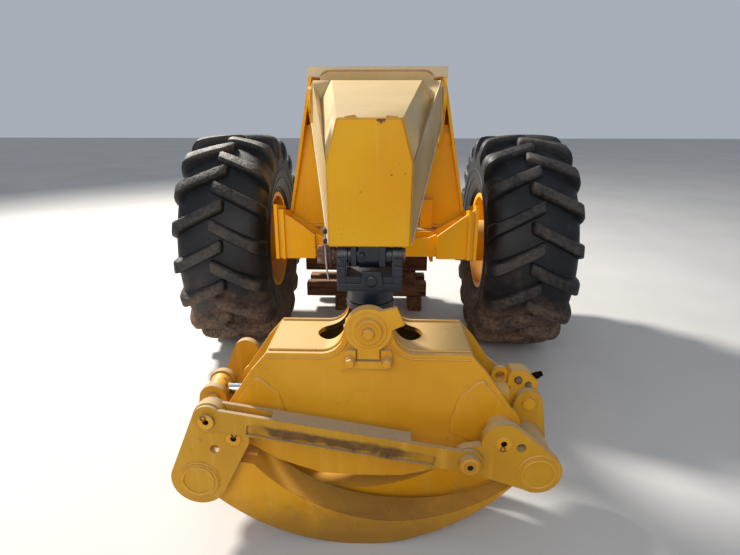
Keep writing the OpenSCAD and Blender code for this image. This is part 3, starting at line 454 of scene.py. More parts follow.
class Stock:
    """A mesh being built up from turned, bent and cut pieces, made into one object at the end."""

    def __init__(self):
        self.mesh = bmesh.new()

    def rings(self, loops, closed=False, cap=True):
        """A skin through loops of points, all of one length."""
        made = [[self.mesh.verts.new(p) for p in loop] for loop in loops]
        count = len(made[0])
        for a, b in zip(made, made[1:] + ([made[0]] if closed else [])):
            for i in range(count):
                j = (i + 1) % count
                self.mesh.faces.new((a[i], a[j], b[j], b[i]))
        if cap and not closed:
            self.mesh.faces.new(made[0][::-1])
            self.mesh.faces.new(made[-1])

    def rod(self, a, b, radius, sides=24, chamfer=0.0):
        a, b = Vector(a), Vector(b)
        turn = (b - a).to_track_quat("Z", "Y")
        length = (b - a).length
        stops = [(0.0, radius), (length, radius)]
        if chamfer > 0.0:
            stops = [(0.0, radius - chamfer), (chamfer, radius),
                     (length - chamfer, radius), (length, radius - chamfer)]
        self.rings([[spun(a, turn, r, t, d) for t in turns(sides)] for d, r in stops])

    def ring(self, centre, axis, outer, inner, depth, sides, round_off):
        """A flat ring or washer: depth runs along the axis from the centre."""
        centre = Vector(centre)
        turn = Vector(axis).to_track_quat("Z", "Y")
        section = [(inner, 0.0), (outer, 0.0), (outer, depth - round_off), (outer - round_off, depth),
                   (inner + round_off, depth), (inner, depth - round_off)]
        self.rings([[spun(centre, turn, r, t, d) for r, d in section] for t in turns(sides)], closed=True)

    def bolt(self, centre, axis, across, height, washer=True):
        """A hexagon head with a chamfered top, standing on a washer."""
        centre, way = Vector(centre), Vector(axis).normalized()
        lift = 0.0
        if washer:
            lift = height * 0.22
            self.rod(centre, centre + way * lift, across * 0.66, 20)
        turn = way.to_track_quat("Z", "Y")
        corner = across / HEXAGON
        levels = ((corner, lift), (corner, lift + height * 0.82), (corner * 0.86, lift + height))
        self.rings([[spun(centre, turn, r, t, d) for t in turns(6, HEAD_TURN)] for r, d in levels])

    def bead(self, path, radius, seed=1, closed=False):
        """A weld bead: a tube along a path, with the small scales that a weld leaves."""
        chance = random.Random(seed)
        points = [Vector(p) for p in path]
        if closed:
            points.append(points[0])
        run = []
        step = radius * 0.55
        for a, b in zip(points, points[1:]):
            count = max(1, round((b - a).length / step))
            run += [a.lerp(b, k / count) for k in range(count)]
        run.append(points[-1])
        last = len(run) - 1
        loops = []
        for k, p in enumerate(run):
            ahead = (run[min(k + 1, last)] - run[max(k - 1, 0)]).normalized()
            turn = ahead.to_track_quat("Z", "Y")
            swell = radius * (0.84 + 0.22 * ((k % 4) / 3.0) + chance.uniform(-0.05, 0.05))
            if k in (0, last):
                swell *= 0.55
            loops.append([spun(p, turn, swell, t) for t in turns(6)])
        self.rings(loops)

    def tube(self, path, radius, closed=True, sides=8):
        """A round wire or pipe along a path. A closed path ends where it starts."""
        points = [Vector(p) for p in path]
        if closed:
            points = points[:-1]
        loops = []
        for k, p in enumerate(points):
            before = points[k - 1] if closed or k else p
            after = points[(k + 1) % len(points)] if closed or k < len(points) - 1 else p
            turn = (after - before).normalized().to_track_quat("Y", "Z")
            loops.append([p + turn @ Vector((radius * math.cos(t), 0.0, radius * math.sin(t)))
                          for t in turns(sides)])
        self.rings(loops, closed=closed)

    def slab(self, outline, low, high, plane="XZ"):
        """A plate whose outline lies in a plane, reaching from low to high across it."""
        self.rings([[PLANES[plane](a, b, across) for a, b in outline] for across in (low, high)])

    def block(self, low, high):
        (x0, y0, z0), (x1, y1, z1) = low, high
        self.slab([(x0, y0), (x1, y0), (x1, y1), (x0, y1)], z0, z1, "XY")

    def made(self, name, finish, body, slot, bevel=0.0, smooth=35.0, replaced=()):
        """One object of all that is in the stock. Edges sharper than smooth degrees stay sharp."""
        bmesh.ops.recalc_face_normals(self.mesh, faces=self.mesh.faces)
        for face in self.mesh.faces:
            face.smooth = True
        for edge in self.mesh.edges:
            if len(edge.link_faces) == 2 and edge.calc_face_angle(0.0) > math.radians(smooth):
                edge.smooth = False
        data = bpy.data.meshes.new(name)
        self.mesh.to_mesh(data)
        self.mesh.free()
        data.materials.append(finish)
        piece = bpy.data.objects.new(name, data)
        bpy.context.scene.collection.objects.link(piece)
        if bevel > 0:
            rounded(piece, "rounded edges", bevel, 2, smooth)
        if body is None:
            return piece
        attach(piece, body)
        if replaced:
            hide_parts(*replaced)
        return piece


def rounded(piece, name, width, segments, sharp):
    """A bevel on the edges of a piece that turn by more than sharp degrees."""
    bevel = piece.modifiers.new(name, "BEVEL")
    bevel.width, bevel.segments, bevel.limit_method = width, segments, "ANGLE"
    bevel.angle_limit = math.radians(sharp)


# Tyres

# Half of the tyre's section, from its bead over the sidewall to the middle of the tread: distance from the
# middle plane, and radius
CARCASS = [(0.2397, 0.3430), (0.2397, 0.3720), (0.252, 0.384), (0.266, 0.404), (0.280, 0.440),
           (0.291, 0.490), (0.295, 0.545), (0.293, 0.600), (0.284, 0.645), (0.266, 0.678),
           (0.240, 0.699), (0.200, 0.714), (0.130, 0.725), (0.060, 0.731), (0.0, 0.733)]
CARCASS_STEPS = 108

# Ribs round the sidewall: radius, distance from the middle plane, half width, and how far they stand out
RIBS = ((0.398, 0.262, 0.008, 0.005), (0.470, 0.287, 0.005, 0.003), (0.535, 0.2945, 0.010, 0.004))
RIB_STEPS = 72

# Lugs on either half of the tread, and half of a lug's thickness
LUGS = 18
LUG_HALF = 0.0375
# How far a lug falls back for each metre outwards, measured at this radius. It counts from the start, and
# no further than the nose past the middle of the tread
LUG_SLANT = 0.51
LUG_RADIUS = 0.76
LUG_START, LUG_NOSE = -0.028, -0.030
# Stations along a lug, from over the middle of the tread, across it and down the shoulder: foot, crest, and
# width
LUG = [((-0.050, 0.728), (-0.047, 0.733), 0.30), ((-0.047, 0.722), (-0.042, 0.757), 0.66),
       ((-0.038, 0.720), (-0.033, 0.776), 0.90), ((-0.022, 0.719), (-0.018, 0.7825), 1.0),
       ((0.02, 0.718), (0.02, 0.7840), 1.0), ((0.07, 0.717), (0.07, 0.7838), 0.98),
       ((0.12, 0.713), (0.12, 0.7825), 0.98), ((0.17, 0.706), (0.17, 0.7800), 1.0),
       ((0.215, 0.696), (0.218, 0.7755), 1.04), ((0.245, 0.682), (0.256, 0.7660), 1.10),
       ((0.262, 0.664), (0.281, 0.7420), 1.15), ((0.273, 0.642), (0.294, 0.7110), 1.16),
       ((0.281, 0.620), (0.3005, 0.6780), 1.14), ((0.286, 0.598), (0.3022, 0.6460), 1.10),
       ((0.289, 0.578), (0.3005, 0.6180), 1.02), ((0.291, 0.562), (0.2960, 0.5960), 0.9),
       ((0.292, 0.552), (0.2935, 0.5780), 0.7)]
# Across a lug: how wide, and how far from the foot to the crest
LUG_SECTION = [(-1.36, 0.0), (-1.14, 0.45), (-0.98, 0.86), (-0.80, 0.985), (-0.30, 1.0),
               (0.30, 1.0), (0.80, 0.985), (0.98, 0.86), (1.14, 0.45), (1.36, 0.0)]
# How much lower a lug may be by wear, and how much one of its points may be by nicks
LUG_WEAR, LUG_NICKS = 0.0022, 0.0012


def on_wheel(side, x, radius, turn):
    """A point on a wheel: how far along X from its middle plane, how far from its axle, and the angle."""
    return (side * WHEEL_X + x, AXLE_Y - radius * math.cos(turn), AXLE_Z + radius * math.sin(turn))


def carcass(stock, side):
    """The tyre's body, from bead to bead."""
    profile = [(-u, r) for u, r in CARCASS] + CARCASS[-2::-1]
    stock.rings([[on_wheel(side, u, r, t) for u, r in profile] for t in turns(CARCASS_STEPS)], closed=True)


def sidewall_ribs(stock, side):
    """The ribs round both sidewalls."""
    for radius, base, width, stand in RIBS:
        section = [(base - 0.008, radius - width), (base + stand, radius - width * 0.4),
                   (base + stand, radius + width * 0.4), (base - 0.006, radius + width)]
        for half in (-1, 1):
            loops = [[on_wheel(side, half * u, r, t) for u, r in section] for t in turns(RIB_STEPS)]
            stock.rings(loops, closed=True)


def lug(stock, side, half, start, chance):
    """One lug on one half of the tread, with its nose at the angle start, worn a little by chance."""
    worn = chance.uniform(0.0, LUG_WEAR)
    loops = []
    for (foot_u, foot_r), (top_u, top_r), spread in LUG:
        turn = start - LUG_SLANT * (max(foot_u, LUG_NOSE) - LUG_START) / LUG_RADIUS
        thick = LUG_HALF * spread * chance.uniform(0.975, 1.02)
        loop = []
        for across, rise in LUG_SECTION:
            u = foot_u + (top_u - foot_u) * rise
            r = foot_r + (top_r - foot_r) * rise - worn * rise - chance.uniform(0.0, LUG_NICKS) * rise
            loop.append(on_wheel(side, half * u, r, turn + thick * across / r))
        loops.append(loop)
    stock.rings(loops)


def tyre(side, name, body, finish):
    """A tyre whose lugs stand half a pitch apart on the two halves of its tread."""
    chance = random.Random(11 + side)
    stock = Stock()
    carcass(stock, side)
    sidewall_ribs(stock, side)
    for half, shift in ((-1, 0.5), (1, 0.0)):
        for i in range(LUGS):
            start = 2 * math.pi * (i + shift) / LUGS
            lug(stock, side, half, start, chance)
    stock.made("tyre_tread_" + name, finish, body, "tyre_rubber", smooth=42.0, replaced=["tyre_" + name])


# The rim's face, from the wheel's middle plane. Then the nuts on the rim and the bolts on the hub's cap: how
# many, their circle's radius, by how many steps they are turned, how far out from the face, across flats,
# height, and with a washer or not
RIM_FACE = 0.060
NUT_CIRCLES = ((10, 0.235, 0.0, 0.0, 0.036, 0.022, True), (12, 0.105, 0.5, 0.099, 0.022, 0.012, False))


def wheel_nuts(side, name, body, finish):
    """The nuts that hold the rim, and the bolts of the hub's cap."""
    stock = Stock()
    face = side * (WHEEL_X + RIM_FACE)
    for count, radius, shift, out, across, height, washer in NUT_CIRCLES:
        for k in range(count):
            t = 2 * math.pi * (k + shift) / count
            place = (face + side * out, AXLE_Y + radius * math.sin(t), AXLE_Z + radius * math.cos(t))
            stock.bolt(place, (side, 0, 0), across, height, washer)
    stock.made("wheel_nuts_" + name, finish, body, "worn_steel")


# Timbers

BAULK = 0.130
BAULK_STEPS = 8
# How far a sawn corner is knocked off, how uneven it is, and how much more goes at a timber's ends
CORNER, UNEVEN, END_TRIM = 0.009, 0.003, 0.012
CRIB_Y, CRIB_DEPTH = 1.075, 0.360
CRIB_LAYERS = 5
# Layers that run fore and aft, with the place of their timbers in X. The others run crosswise.
FORE_LAYERS = {0: 0.330, 2: 0.270, 4: 0.210}
CROSS_ENDS = (-0.648, 0.432)
FORE_ENDS = (CRIB_Y - 0.040, CRIB_Y + 0.400)


def baulk(stock, chance, along, ends, across, levels):
    """One timber along X or Y with sawn corners knocked off, and ends that are not quite square."""
    (start, end), (a0, a1), (z0, z1) = ends, across, levels
    loops = []
    for k in range(BAULK_STEPS + 1):
        trim = END_TRIM if k in (0, BAULK_STEPS) else 0.0
        g = [chance.uniform(0.0, UNEVEN) + trim * 0.5 for _ in range(4)]
        c = CORNER + trim * 0.3
        section = [(a0 + g[0], z0 + c), (a0 + c, z0), (a1 - c, z0), (a1 - g[1], z0 + c),
                   (a1 - g[2], z1 - c), (a1 - c, z1), (a0 + c, z1), (a0 + g[3], z1 - c)]
        reach = start + (end - start) * k / BAULK_STEPS
        loops.append([(reach, a, z) if along == "X" else (a, reach, z) for a, z in section])
    stock.rings(loops)


def crib(cross_finish, fore_finish):
    """Timbers laid crosswise by turns, as high as the CAD's crib."""
    chance = random.Random(7)
    low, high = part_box("crib")
    layer = (high.z - low.z) / CRIB_LAYERS
    fore, cross = Stock(), Stock()
    for k in range(CRIB_LAYERS):
        levels = (k * layer, (k + 1) * layer)
        if k in FORE_LAYERS:
            for x in (-FORE_LAYERS[k], FORE_LAYERS[k]):
                baulk(fore, chance, "Y", FORE_ENDS, (x - BAULK / 2, x + BAULK / 2), levels)
        else:
            for y in (CRIB_Y, CRIB_Y + CRIB_DEPTH - BAULK):
                baulk(cross, chance, "X", CROSS_ENDS, (y, y + BAULK), levels)
    cross.made("crib_cross_timbers", cross_finish, "root", "weathered_timber", smooth=30.0, replaced=["crib"])
    fore.made("crib_fore_timbers", fore_finish, "root", "weathered_timber", smooth=30.0)


# Welds, bolts and small fittings

# How far the edges of small plates and castings are rounded off
EASED = 0.003

# The head's top edge: the ends of its flat, its height, and the hollow curve's middle and radius
FLAT_ENDS, FLAT_Z = (0.392, 0.186), 0.848
HUMP_X, HUMP_Z, HUMP_R = 0.184, 0.940, 0.092


def hump_line(side, drop=0.0):
    """The head's top edge on one side: flat, then up the hollow curve to the hump."""
    flat = [(side * x, FLAT_Z - drop) for x in FLAT_ENDS]
    radius = HUMP_R + drop
    angles = [math.radians(a) for a in range(8, 84, 8)]
    return flat + [(side * (HUMP_X - radius * math.sin(t)), HUMP_Z - radius * math.cos(t)) for t in angles]


def boom_side_welds(finish):
    """Seams along the sides' feet, and up their ends at the root."""
    tip_x, tip_z = BOOM_SECTIONS[0][-1]
    (top_x, top_z), (foot_x, foot_z) = BOOM_SECTIONS[-1][-2:]
    seams = Stock()
    for s in (-1, 1):
        seams.bead([(s * (tip_x + 0.001), BOOM_TIP_Y + 0.01, tip_z + 0.004),
                    (s * (foot_x + 0.001), BOOM_ROOT_Y - 0.004, foot_z + 0.004)], 0.0075, seed=3 + s)
        seams.bead([(s * (foot_x + 0.002), BOOM_ROOT_Y - 0.002, foot_z + 0.005),
                    (s * (top_x + 0.002), BOOM_ROOT_Y - 0.002, top_z - 0.012)], 0.0065, seed=5 + s)
    seams.made("boom_side_welds", finish, "boom", "yellow_paint")


def boom_cap_weld(finish):
    """The seam round the boom's end plate, a little outside the plate's own corners."""
    corners = [(-0.113, 1.707), (0.113, 1.707), (0.154, 1.555),
               (0.150, 1.248), (-0.150, 1.248), (-0.154, 1.555)]
    middle, wider, taller = 1.48, 1.012, 1.006
    path = [(x * wider, BOOM_TIP_Y + 0.001, middle + (z - middle) * taller) for x, z in corners]
    rim = Stock()
    rim.bead(path, 0.0050, seed=9, closed=True)
    rim.made("boom_cap_weld", finish, "boom", "yellow_paint")


def head_welds(finish):
    """Seams round the tongs' pivots and along the head's top edge, outside its plates and inside them."""
    # Y, how far under the edge, how far up again, radius and seed
    edges = ((HEAD_FRONT - 0.001, 0.017, 0.0, 0.0045, 25), (HEAD_BACK + 0.001, 0.017, 0.0, 0.0045, 25),
             (HEAD_FRONT + 0.026, -0.002, 0.004, 0.0050, 27), (HEAD_BACK - 0.026, -0.002, 0.004, 0.0050, 29))
    head = Stock()
    for s in (-1, 1):
        head.bead(around(s * TONG_X, TONG_Z, 0.059, HEAD_FRONT - 0.001), 0.006, seed=21 + s, closed=True)
        for y, drop, lift, radius, seed in edges:
            head.bead([(x, y, z + lift) for x, z in hump_line(s, drop)], radius, seed=seed + s)
    head.made("head_welds", finish, "head", "yellow_paint")


def tong_welds(finish):
    """Seams round both ends of the tong tubes, on the plates and on the end discs."""
    # Y, the circle's radius and the bead's
    circles = ((TONG_FRONT - 0.001, 0.079, 0.005), (TONG_BACK + 0.001, 0.079, 0.005),
               (TONG_FRONT - 0.009, 0.062, 0.0048), (TONG_BACK + 0.009, 0.062, 0.0048))
    for side, (x, z), seed in (("left", TUBE_LEFT, 31), ("right", TUBE_RIGHT, 41)):
        tube = Stock()
        for k, (y, radius, width) in enumerate(circles):
            tube.bead(around(x, z, radius, y), width, seed=seed + k, closed=True)
        tube.made(side + "_tong_welds", finish, "tong_" + side, "yellow_paint")


def doublers(finish):
    """Thickening plates on the head's front, round its two pivots, welded along their upper inner edges."""
    outline = [(0.328, 0.513), (0.331, 0.575), (0.357, 0.673), (0.425, 0.739), (0.447, 0.742),
               (0.586, 0.568), (0.560, 0.478), (0.512, 0.462), (0.420, 0.470)]
    welded_corners = 5
    for s, side in reversed(SIDES):
        name = "doubler_" + side
        points = [(s * x, z) for x, z in outline]
        plate = Stock()
        plate.slab(points, HEAD_FRONT - 0.008, HEAD_FRONT + 0.002)
        plate.made(name, finish, "head", "yellow_paint", bevel=EASED)
        seam = Stock()
        seam.bead([(x, HEAD_FRONT - 0.002, z) for x, z in points[:welded_corners]], 0.005, seed=51 + s)
        seam.made(name + "_weld", finish, "head", "yellow_paint")


# A safety wire's loop: how many points, from how near the pin's middle, how long and how wide in radians,
# how far a point lies off the face by chance, and the wire's radius
WIRE_STEPS = 16
WIRE_NEAR, WIRE_LENGTH, WIRE_SPREAD = 0.010, 0.020, 0.45
WIRE_LIFT = 0.0004
WIRE_R = 0.0024


def safety_wire(name, finish, body, x, y, z, angle, seed):
    """A loop of wire from a pin's hole, lying on the pin's face towards an angle in degrees."""
    chance = random.Random(seed)
    loop = []
    for k in range(WIRE_STEPS + 1):
        t = 2 * math.pi * k / WIRE_STEPS
        far = WIRE_NEAR + WIRE_LENGTH * (0.5 - 0.5 * math.cos(t))
        turn = math.radians(angle) + WIRE_SPREAD * math.sin(t)
        lift = chance.uniform(0.0, WIRE_LIFT)
        loop.append((x + far * math.cos(turn), y - lift, z + far * math.sin(turn)))
    wire = Stock()
    wire.tube(loop, WIRE_R)
    wire.made(name, finish, body, "worn_steel")


GREASE_HOLE_R = 0.0118


def pin_end(name, body, place, y, proud, finishes, radius=0.030, hole_y=None, wire=None):
    """A collar on the end of a pin, standing proud of y, its grease hole, and a safety wire where one is
    given by its angle and seed."""
    paint, dark, rust = finishes
    x, z = place
    collar = Stock()
    collar.ring((x, y, z), REARWARDS, radius, GREASE_HOLE_R - 0.0003, proud, 32, 0.0015)
    collar.made(name, paint, body, "worn_steel")
    # The dark disc at the hole's foot is painted shade.
    hole = Stock()
    bottom = hole_y or y - proud * 0.35
    hole.rod((x, bottom + 0.002, z), (x, bottom, z), GREASE_HOLE_R, 16)
    hole.made(name + "_hole", dark, body, "dark_casting")
    if wire:
        safety_wire(name + "_wire", rust, body, x, y - proud - WIRE_R - 0.0002, z, *wire)


def pin_ends(*finishes):
    """The ends of the grapple's pins. The right timing pin's hole stays inside the CAD's box, so it lies
    behind the pin's face and the shade of its bore is painted on."""
    link_y, tong_y = TONG_FRONT - 0.033, TONG_FRONT + 0.001
    pin_end("timing_pin_left_end", "timing_link", LINK_LEFT, link_y, 0.005, finishes, wire=(110, 1))
    pin_end("timing_pin_right_end", "timing_link", LINK_RIGHT, link_y - 0.006, 0.004, finishes,
            radius=0.034, hole_y=-1.6718)
    pin_end("tong_pin_left_end", "head", (-TONG_X, TONG_Z), tong_y, 0.003, finishes, wire=(75, 3))
    pin_end("tong_pin_right_end", "head", (TONG_X, TONG_Z), tong_y, 0.003, finishes, wire=(-100, 4))


def hanger_parts(paint):
    """Rings on the hanger pin's disc, and the bolts of the disc and the pin keeper."""
    face = HEAD_FRONT - 0.018
    disc = Stock()
    disc.ring((0, face, HANGER_Z), REARWARDS, 0.070, 0.050, 0.005, 48, 0.002)
    disc.ring((0, face - 0.014, HANGER_Z), REARWARDS, 0.050, 0.034, 0.004, 40, 0.0015)
    disc.bead(around(0, HANGER_Z, 0.0535, face - 0.001, 36), 0.0030, seed=61, closed=True)
    disc.made("hanger_disc_rings", paint, "head", "yellow_paint")
    bolts = Stock()
    bolts.bolt((0, face - 0.022, HANGER_Z), REARWARDS, 0.038, 0.014)
    for s in (-1, 1):
        bolts.bolt((s * 0.069, HEAD_FRONT - 0.040, 0.836), REARWARDS, 0.031, 0.016)
    bolts.made("hanger_bolts", paint, "head", "yellow_paint")


LINK_FACE = TIP_Y - 0.070
LINK_FOOT_Z, LINK_TOP_Z = 1.070, 1.196


def link_face_castings(finish):
    """Raised bars and pads on the link's face, low enough to pass under the boom's end plate."""
    link = Stock()
    for s in (-1, 1):
        x0, x1 = sorted((s * 0.090, s * 0.126))
        foot = x1 - 0.004 if s > 0 else x1
        link.slab([(x0, LINK_TOP_Z), (x1, LINK_TOP_Z), (foot, LINK_FOOT_Z), (x0, LINK_FOOT_Z)],
                  LINK_FACE - 0.002, LINK_FACE + 0.012)
        link.slab([(x0, 1.130), (x1, 1.130), (x1, 1.170), (x0, 1.170)], LINK_FACE - 0.010, LINK_FACE)
    link.slab([(-0.118, LINK_FOOT_Z), (0.120, LINK_FOOT_Z), (0.124, 1.100), (-0.122, 1.100)],
              LINK_FACE - 0.008, LINK_FACE + 0.002)
    link.slab([(-0.037, LINK_FOOT_Z), (0.055, LINK_FOOT_Z), (0.046, 1.150), (-0.030, 1.150)],
              LINK_FACE - 0.014, LINK_FACE + 0.004)
    link.rod((0.008, LINK_FACE - 0.001, 1.112), (0.008, LINK_FACE - 0.020, 1.112), 0.023, chamfer=0.004)
    link.made("link_face_castings", finish, "link", "dark_casting", bevel=EASED)


def tip_lug_ribs(finish):
    """Two ribs on the lug at the boom's tip, and a plug beside them."""
    ribs = Stock()
    for x0, x1 in ((-0.072, -0.050), (0.036, 0.062)):
        ribs.slab([(x0, 1.165), (x1, 1.165), (x1, 1.243), (x0, 1.243)], TIP_Y - 0.062, TIP_Y - 0.040)
    ribs.rod((-0.030, TIP_Y - 0.050, 1.205), (-0.030, TIP_Y - 0.066, 1.205), 0.012, 16)
    ribs.made("tip_lug_ribs", finish, "boom", "dark_casting", bevel=EASED)


def link_bolts(finish):
    """The two small bolts at the top of the link's face."""
    bolts = Stock()
    for x in (-0.110, 0.109):
        bolts.bolt((x, LINK_FACE - 0.002, 1.183), REARWARDS, 0.020, 0.007)
    bolts.made("link_bolts", finish, "link", "dark_casting")


def link_pin_nut(finish):
    """The castle nut on the left end of the link's pin, with its split pin."""
    castle_r, castle_x = 0.029, (-0.182, -0.203)
    split_x, split_half = -0.192, 0.046
    nut = Stock()
    nut.bolt((-0.150, TIP_Y, TIP_Z), (-1, 0, 0), 0.074, 0.034)
    for k in range(6):
        t = math.pi / 3 * (k + 0.5) + HEAD_TURN
        y, z = TIP_Y + castle_r * math.cos(t), TIP_Z + castle_r * math.sin(t)
        nut.rod((castle_x[0], y, z), (castle_x[1], y, z), 0.0095, 10, chamfer=0.002)
    nut.rod((split_x, TIP_Y - split_half, TIP_Z + 0.004), (split_x, TIP_Y + split_half, TIP_Z - 0.004),
            0.0035, 10)
    nut.made("link_pin_nut", finish, "link", "worn_steel")


def grease_pipe(bright, casting):
    """A thin pipe down the left of the boom's tip, with two joints."""
    route = [(-0.170, 0.048, 1.318), (-0.170, 0.049, 1.260), (-0.169, 0.050, 1.200),
             (-0.166, 0.050, 1.150), (-0.162, 0.051, 1.120), (-0.158, 0.053, 1.105)]
    pipe = Stock()
    pipe.tube([(x, TIP_Y - behind, z) for x, behind, z in route], 0.0042, closed=False)
    pipe.made("grease_pipe", bright, "boom", "worn_steel")
    joints = Stock()
    x, y = -0.170, TIP_Y - 0.0485
    for z in (1.300, 1.262):
        joints.rod((x, y, z - 0.010), (x, y, z + 0.010), 0.0085, 12, chamfer=0.002)
    joints.made("grease_pipe_joints", casting, "boom", "dark_casting")


PLATE = 0.014


def boom_skin(finish):
    """The boom's folded plates: a flat top, a bevel on either side that ends in a gutter before the root, and
    sides that rise past the bevels towards the root. Its wall is as thick as the CAD's."""
    loops = [[(-x, y, z) for x, z in reversed(points)] + [(x, y, z) for x, z in points]
             for y, *points in BOOM_SECTIONS]
    skin = Stock()
    skin.rings(loops, cap=False)
    shell = skin.made("boom_skin", finish, "boom", "yellow_paint", smooth=8.0, replaced=["boom_shell"])
    thick = shell.modifiers.new("plate thickness", "SOLIDIFY")
    thick.thickness, thick.offset = PLATE, -1.0
    rounded(shell, "folded edges", 0.009, 3, 12)


def boom_lift_ears(finish):
    """The ears for the lift cylinder's eye, as in the CAD, with a boss on either one."""
    eye_y, eye_z = -0.595, 1.330
    outline = [(eye_y + 0.110, 1.534), (eye_y - 0.110, 1.465)] + arc(eye_y, eye_z, 0.052, 180, 360, 14)
    ears = Stock()
    for s in (-1, 1):
        ears.slab(outline, *sorted((s * 0.051, s * 0.081)), "YZ")
        ears.rod((s * 0.051, eye_y, eye_z), (s * 0.095, eye_y, eye_z), 0.028, chamfer=0.003)
    ears.made("boom_lift_ears", finish, "boom", "yellow_paint", bevel=EASED)


def boom_tip_parts(paint, rust):
    """Two small tabs on the end plate's top edge, and the tear between them."""
    tabs = Stock()
    for x, z, tilt in ((-0.070, 1.7135, 0.003), (0.080, 1.7125, -0.002)):
        outline = [(x - 0.022, z - 0.005), (x + 0.022, z - 0.005),
                   (x + 0.019, z + 0.006 + tilt), (x - 0.020, z + 0.006 - tilt)]
        tabs.slab(outline, BOOM_TIP_Y + 0.002, BOOM_TIP_Y + 0.026)
    tabs.made("boom_tip_tabs", paint, "boom", "yellow_paint", bevel=0.002)
    torn = [(0.024, 1.7080), (0.058, 1.7080), (0.053, 1.697), (0.047, 1.700),
            (0.041, 1.690), (0.033, 1.700), (0.027, 1.699)]
    tear = Stock()
    tear.slab(torn, BOOM_TIP_Y - 0.0155, BOOM_TIP_Y - 0.010)
    tear.made("boom_tip_tear", rust, "boom", "worn_steel")


def port_parts(steel, dark):
    """Plugs in the port block's face, and the black cap on its upper corner."""
    x, z = RAM_RIGHT
    plugs = Stock()
    plugs.bolt((x - 0.040, RAM_Y - 0.035, z + 0.084), REARWARDS, 0.026, 0.012)
    plugs.bolt((x + 0.004, RAM_Y - 0.035, z + 0.062), REARWARDS, 0.022, 0.010)
    plugs.made("port_block_plugs", steel, "ram_barrel", "worn_steel")
    cap = Stock()
    for a, b, radius, chamfer in (((0.030, 0.0, 0.080), (0.052, -0.004, 0.094), 0.0150, 0.002),
                                  ((0.048, -0.003, 0.091), (0.066, -0.007, 0.102), 0.0120, 0.003)):
        block = Vector((x, RAM_Y, z))
        cap.rod(block + Vector(a), block + Vector(b), radius, 16, chamfer=chamfer)
    cap.made("port_cap", dark, "ram_barrel", "dark_casting")


def boom_stop_block(paint):
    """The small block on the arch beside the boom's right side."""
    block = Stock()
    block.block((0.372, -0.030, 1.778), (0.408, 0.010, 1.806))
    block.made("boom_stop_block", paint, "root", "yellow_paint", bevel=EASED)


# Floor, light and the CAD's own nodes

FLOOR_HALF = 30
FLOOR_THICKNESS = 0.02
SKY = (0.78, 0.85, 0.96, 1.0)
SKY_STRENGTH = 0.50
# Lights: name, place, what they point at, size, power and colour
LIGHTS = (("key light", (-4.6, 4.2, 6.2), (0.0, -0.4, 0.9), 1.2, 1680, (1.0, 0.95, 0.86)),
          ("fill light", (-0.9, -6.5, 4.0), (0.0, -0.8, 0.8), 4.5, 190, (1.0, 0.97, 0.93)))


def stage_and_light():
    """A plain pale floor, a pale sky and two soft lights."""
    floor = Stock()
    floor.block((-FLOOR_HALF, -FLOOR_HALF, -FLOOR_THICKNESS), (FLOOR_HALF, FLOOR_HALF, 0.0))
    floor.made("floor", pale_floor("floor, pale concrete"), None, None)
    world = bpy.data.worlds.new("studio")
    world.use_nodes = True
    sky = world.node_tree.nodes["Background"].inputs
    sky["Color"].default_value = SKY
    sky["Strength"].default_value = SKY_STRENGTH
    bpy.context.scene.world = world
    bpy.context.scene.view_settings.view_transform = "Standard"
    for name, place, aim, size, power, colour in LIGHTS:
        data = bpy.data.lights.new(name, "AREA")
        data.shape, data.size, data.energy, data.color = "DISK", size, power, colour
        lamp = bpy.data.objects.new(name, data)
        lamp.location = place
        lamp.rotation_euler = (Vector(aim) - Vector(place)).to_track_quat("-Z", "Y").to_euler()
        bpy.context.scene.collection.objects.link(lamp)


def dress(finish, *names):
    """One finish all over the CAD's nodes of these names."""
    for name in names:
        data = nodes[name].data
        data.materials.clear()
        data.materials.append(finish)


camera()
stage_and_light()

# low darkens each paint near the ground as painted shade.
shade_paint = yellow_paint("yellow paint, weathered", sun=0.62, dirt=0.34, wear=0.5, low=0.75)
tine_paint = yellow_paint("yellow paint, scuffed", sun=0.16, dirt=0.10, wear=1.1,
                          tint=(0.64, 0.300, 0.008), deep=(0.55, 0.242, 0.005), low=0.62)
# Painted light: the right tine's paint is brighter and deeper than the left tines', so that it looks sunlit.
inner_tine_paint = yellow_paint("yellow paint, clean, brightened as painted light", sun=0.16, dirt=0.08, wear=0.9,
                                tint=(0.80, 0.370, 0.003), deep=(0.70, 0.305, 0.002), low=0.4)
dirty_paint = yellow_paint("yellow paint, caked, with painted shade in its pocket", sun=0.50, dirt=0.95, wear=0.7,
                           tint=(0.46, 0.235, 0.014), deep=(0.38, 0.180, 0.008), marks=pocket_earth_and_shade)
head_paint = yellow_paint("yellow paint, shaded inside", sun=0.62, dirt=0.34, wear=0.6, low=0.75,
                          marks=head_inner_shade)
soiled_paint = yellow_paint("yellow paint, soiled", sun=0.55, dirt=0.62, wear=0.6,
                            tint=(0.50, 0.250, 0.014), deep=(0.42, 0.195, 0.008), low=0.75)
cap_paint = yellow_paint("yellow paint, end plate", sun=0.4, dirt=0.20, wear=0.8,
                         tint=(0.64, 0.325, 0.003), deep=(0.60, 0.265, 0.002))
# pale paints highlights along the folds and edges of the boom, its side welds and the arch's hood.
boom_paint = yellow_paint("yellow paint, sun-bleached", sun=0.5, dirt=0.34, wear=0.7,
                          tint=(0.51, 0.368, 0.172), deep=(0.43, 0.298, 0.118), pale=0.7)
cream_paint = yellow_paint("yellow paint, bleached to cream", sun=0.8, dirt=0.90, wear=1.0,
                           tint=(0.62, 0.49, 0.31), deep=(0.54, 0.42, 0.25), pale=0.4)
# Painted light: the arch, wings, rear beam, rims, hubs and lift barrel sit in shade, so their paint is made
# brighter and deeper than the rest to look sunlit.
brightened_paint = yellow_paint("yellow paint, deep, brightened as painted light", sun=0.35, dirt=0.35, wear=0.35,
                          tint=(0.84, 0.400, 0.002), deep=(0.76, 0.345, 0.001))
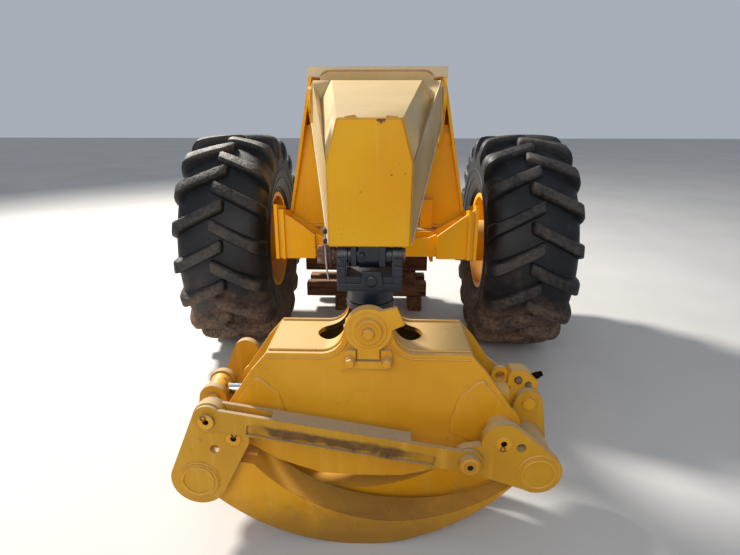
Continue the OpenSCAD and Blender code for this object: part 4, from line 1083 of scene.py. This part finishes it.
frame_paint = yellow_paint("yellow paint, under dust and oil", sun=0.40, dirt=0.85, wear=0.6,
                           tint=(0.60, 0.285, 0.006), deep=(0.62, 0.275, 0.003))
casting = dark_casting("blue-black casting")
steel = rusty_steel("bare steel, browned")
bright_steel = rusty_steel("bare steel, bright", 0.62)
scorched = rusty_steel("scorched steel", 0.05)
rubber = tyre_rubber("tyre rubber, dusty and muddy")
hole_dark = hole_shadow("shadowed hole")

dress(boom_paint, "boom_root")
dress(cap_paint, "boom_cap")
dress(cream_paint, "arch_hood")
dress(frame_paint, "rear_frame", "nose_box", "deck_plate", "frame_hinge", "foot_bracket", "axle_housing",
      "differential")
dress(brightened_paint, "arch", "wing_left", "wing_right", "rear_beam", "rim_left", "rim_right", "hub_left",
      "hub_right", "lift_barrel")
dress(head_paint, "head_shell")
dress(shade_paint, "hanger_pin", "pin_keeper", "ram_barrel", "ram_ports", "tong_pins", "ram_pin")
dress(tine_paint, "tines_left")
dress(inner_tine_paint, "tine_right")
dress(soiled_paint, "tong_left", "tong_right")
dress(dirty_paint, "timing_link")
dress(casting, "tip_lug", "link", "rotator_housing", "hanger_yoke")
dress(steel, "boom_pivot_pin", "link_pin", "rotator_shaft", "drive_flange")
dress(chrome_rod("chrome rod"), "lift_rod")
dress(rod_with_eye("chrome rod with a painted eye", -0.612), "ram_rod")

boom_skin(boom_paint)
boom_lift_ears(boom_paint)
for side, name in SIDES:
    tyre(side, name, "wheel_" + name, rubber)
    wheel_nuts(side, name, "wheel_" + name, steel)
crib(timber("timber, grain crosswise", "X"), timber("timber, grain fore and aft", "Y"))
boom_side_welds(cream_paint)
boom_cap_weld(shade_paint)
head_welds(shade_paint)
tong_welds(shade_paint)
doublers(shade_paint)
pin_ends(shade_paint, hole_dark, scorched)
hanger_parts(shade_paint)
link_face_castings(casting)
tip_lug_ribs(casting)
link_bolts(casting)
link_pin_nut(scorched)
grease_pipe(bright_steel, casting)
boom_tip_parts(soiled_paint, scorched)
port_parts(steel, hole_dark)
boom_stop_block(brightened_paint)
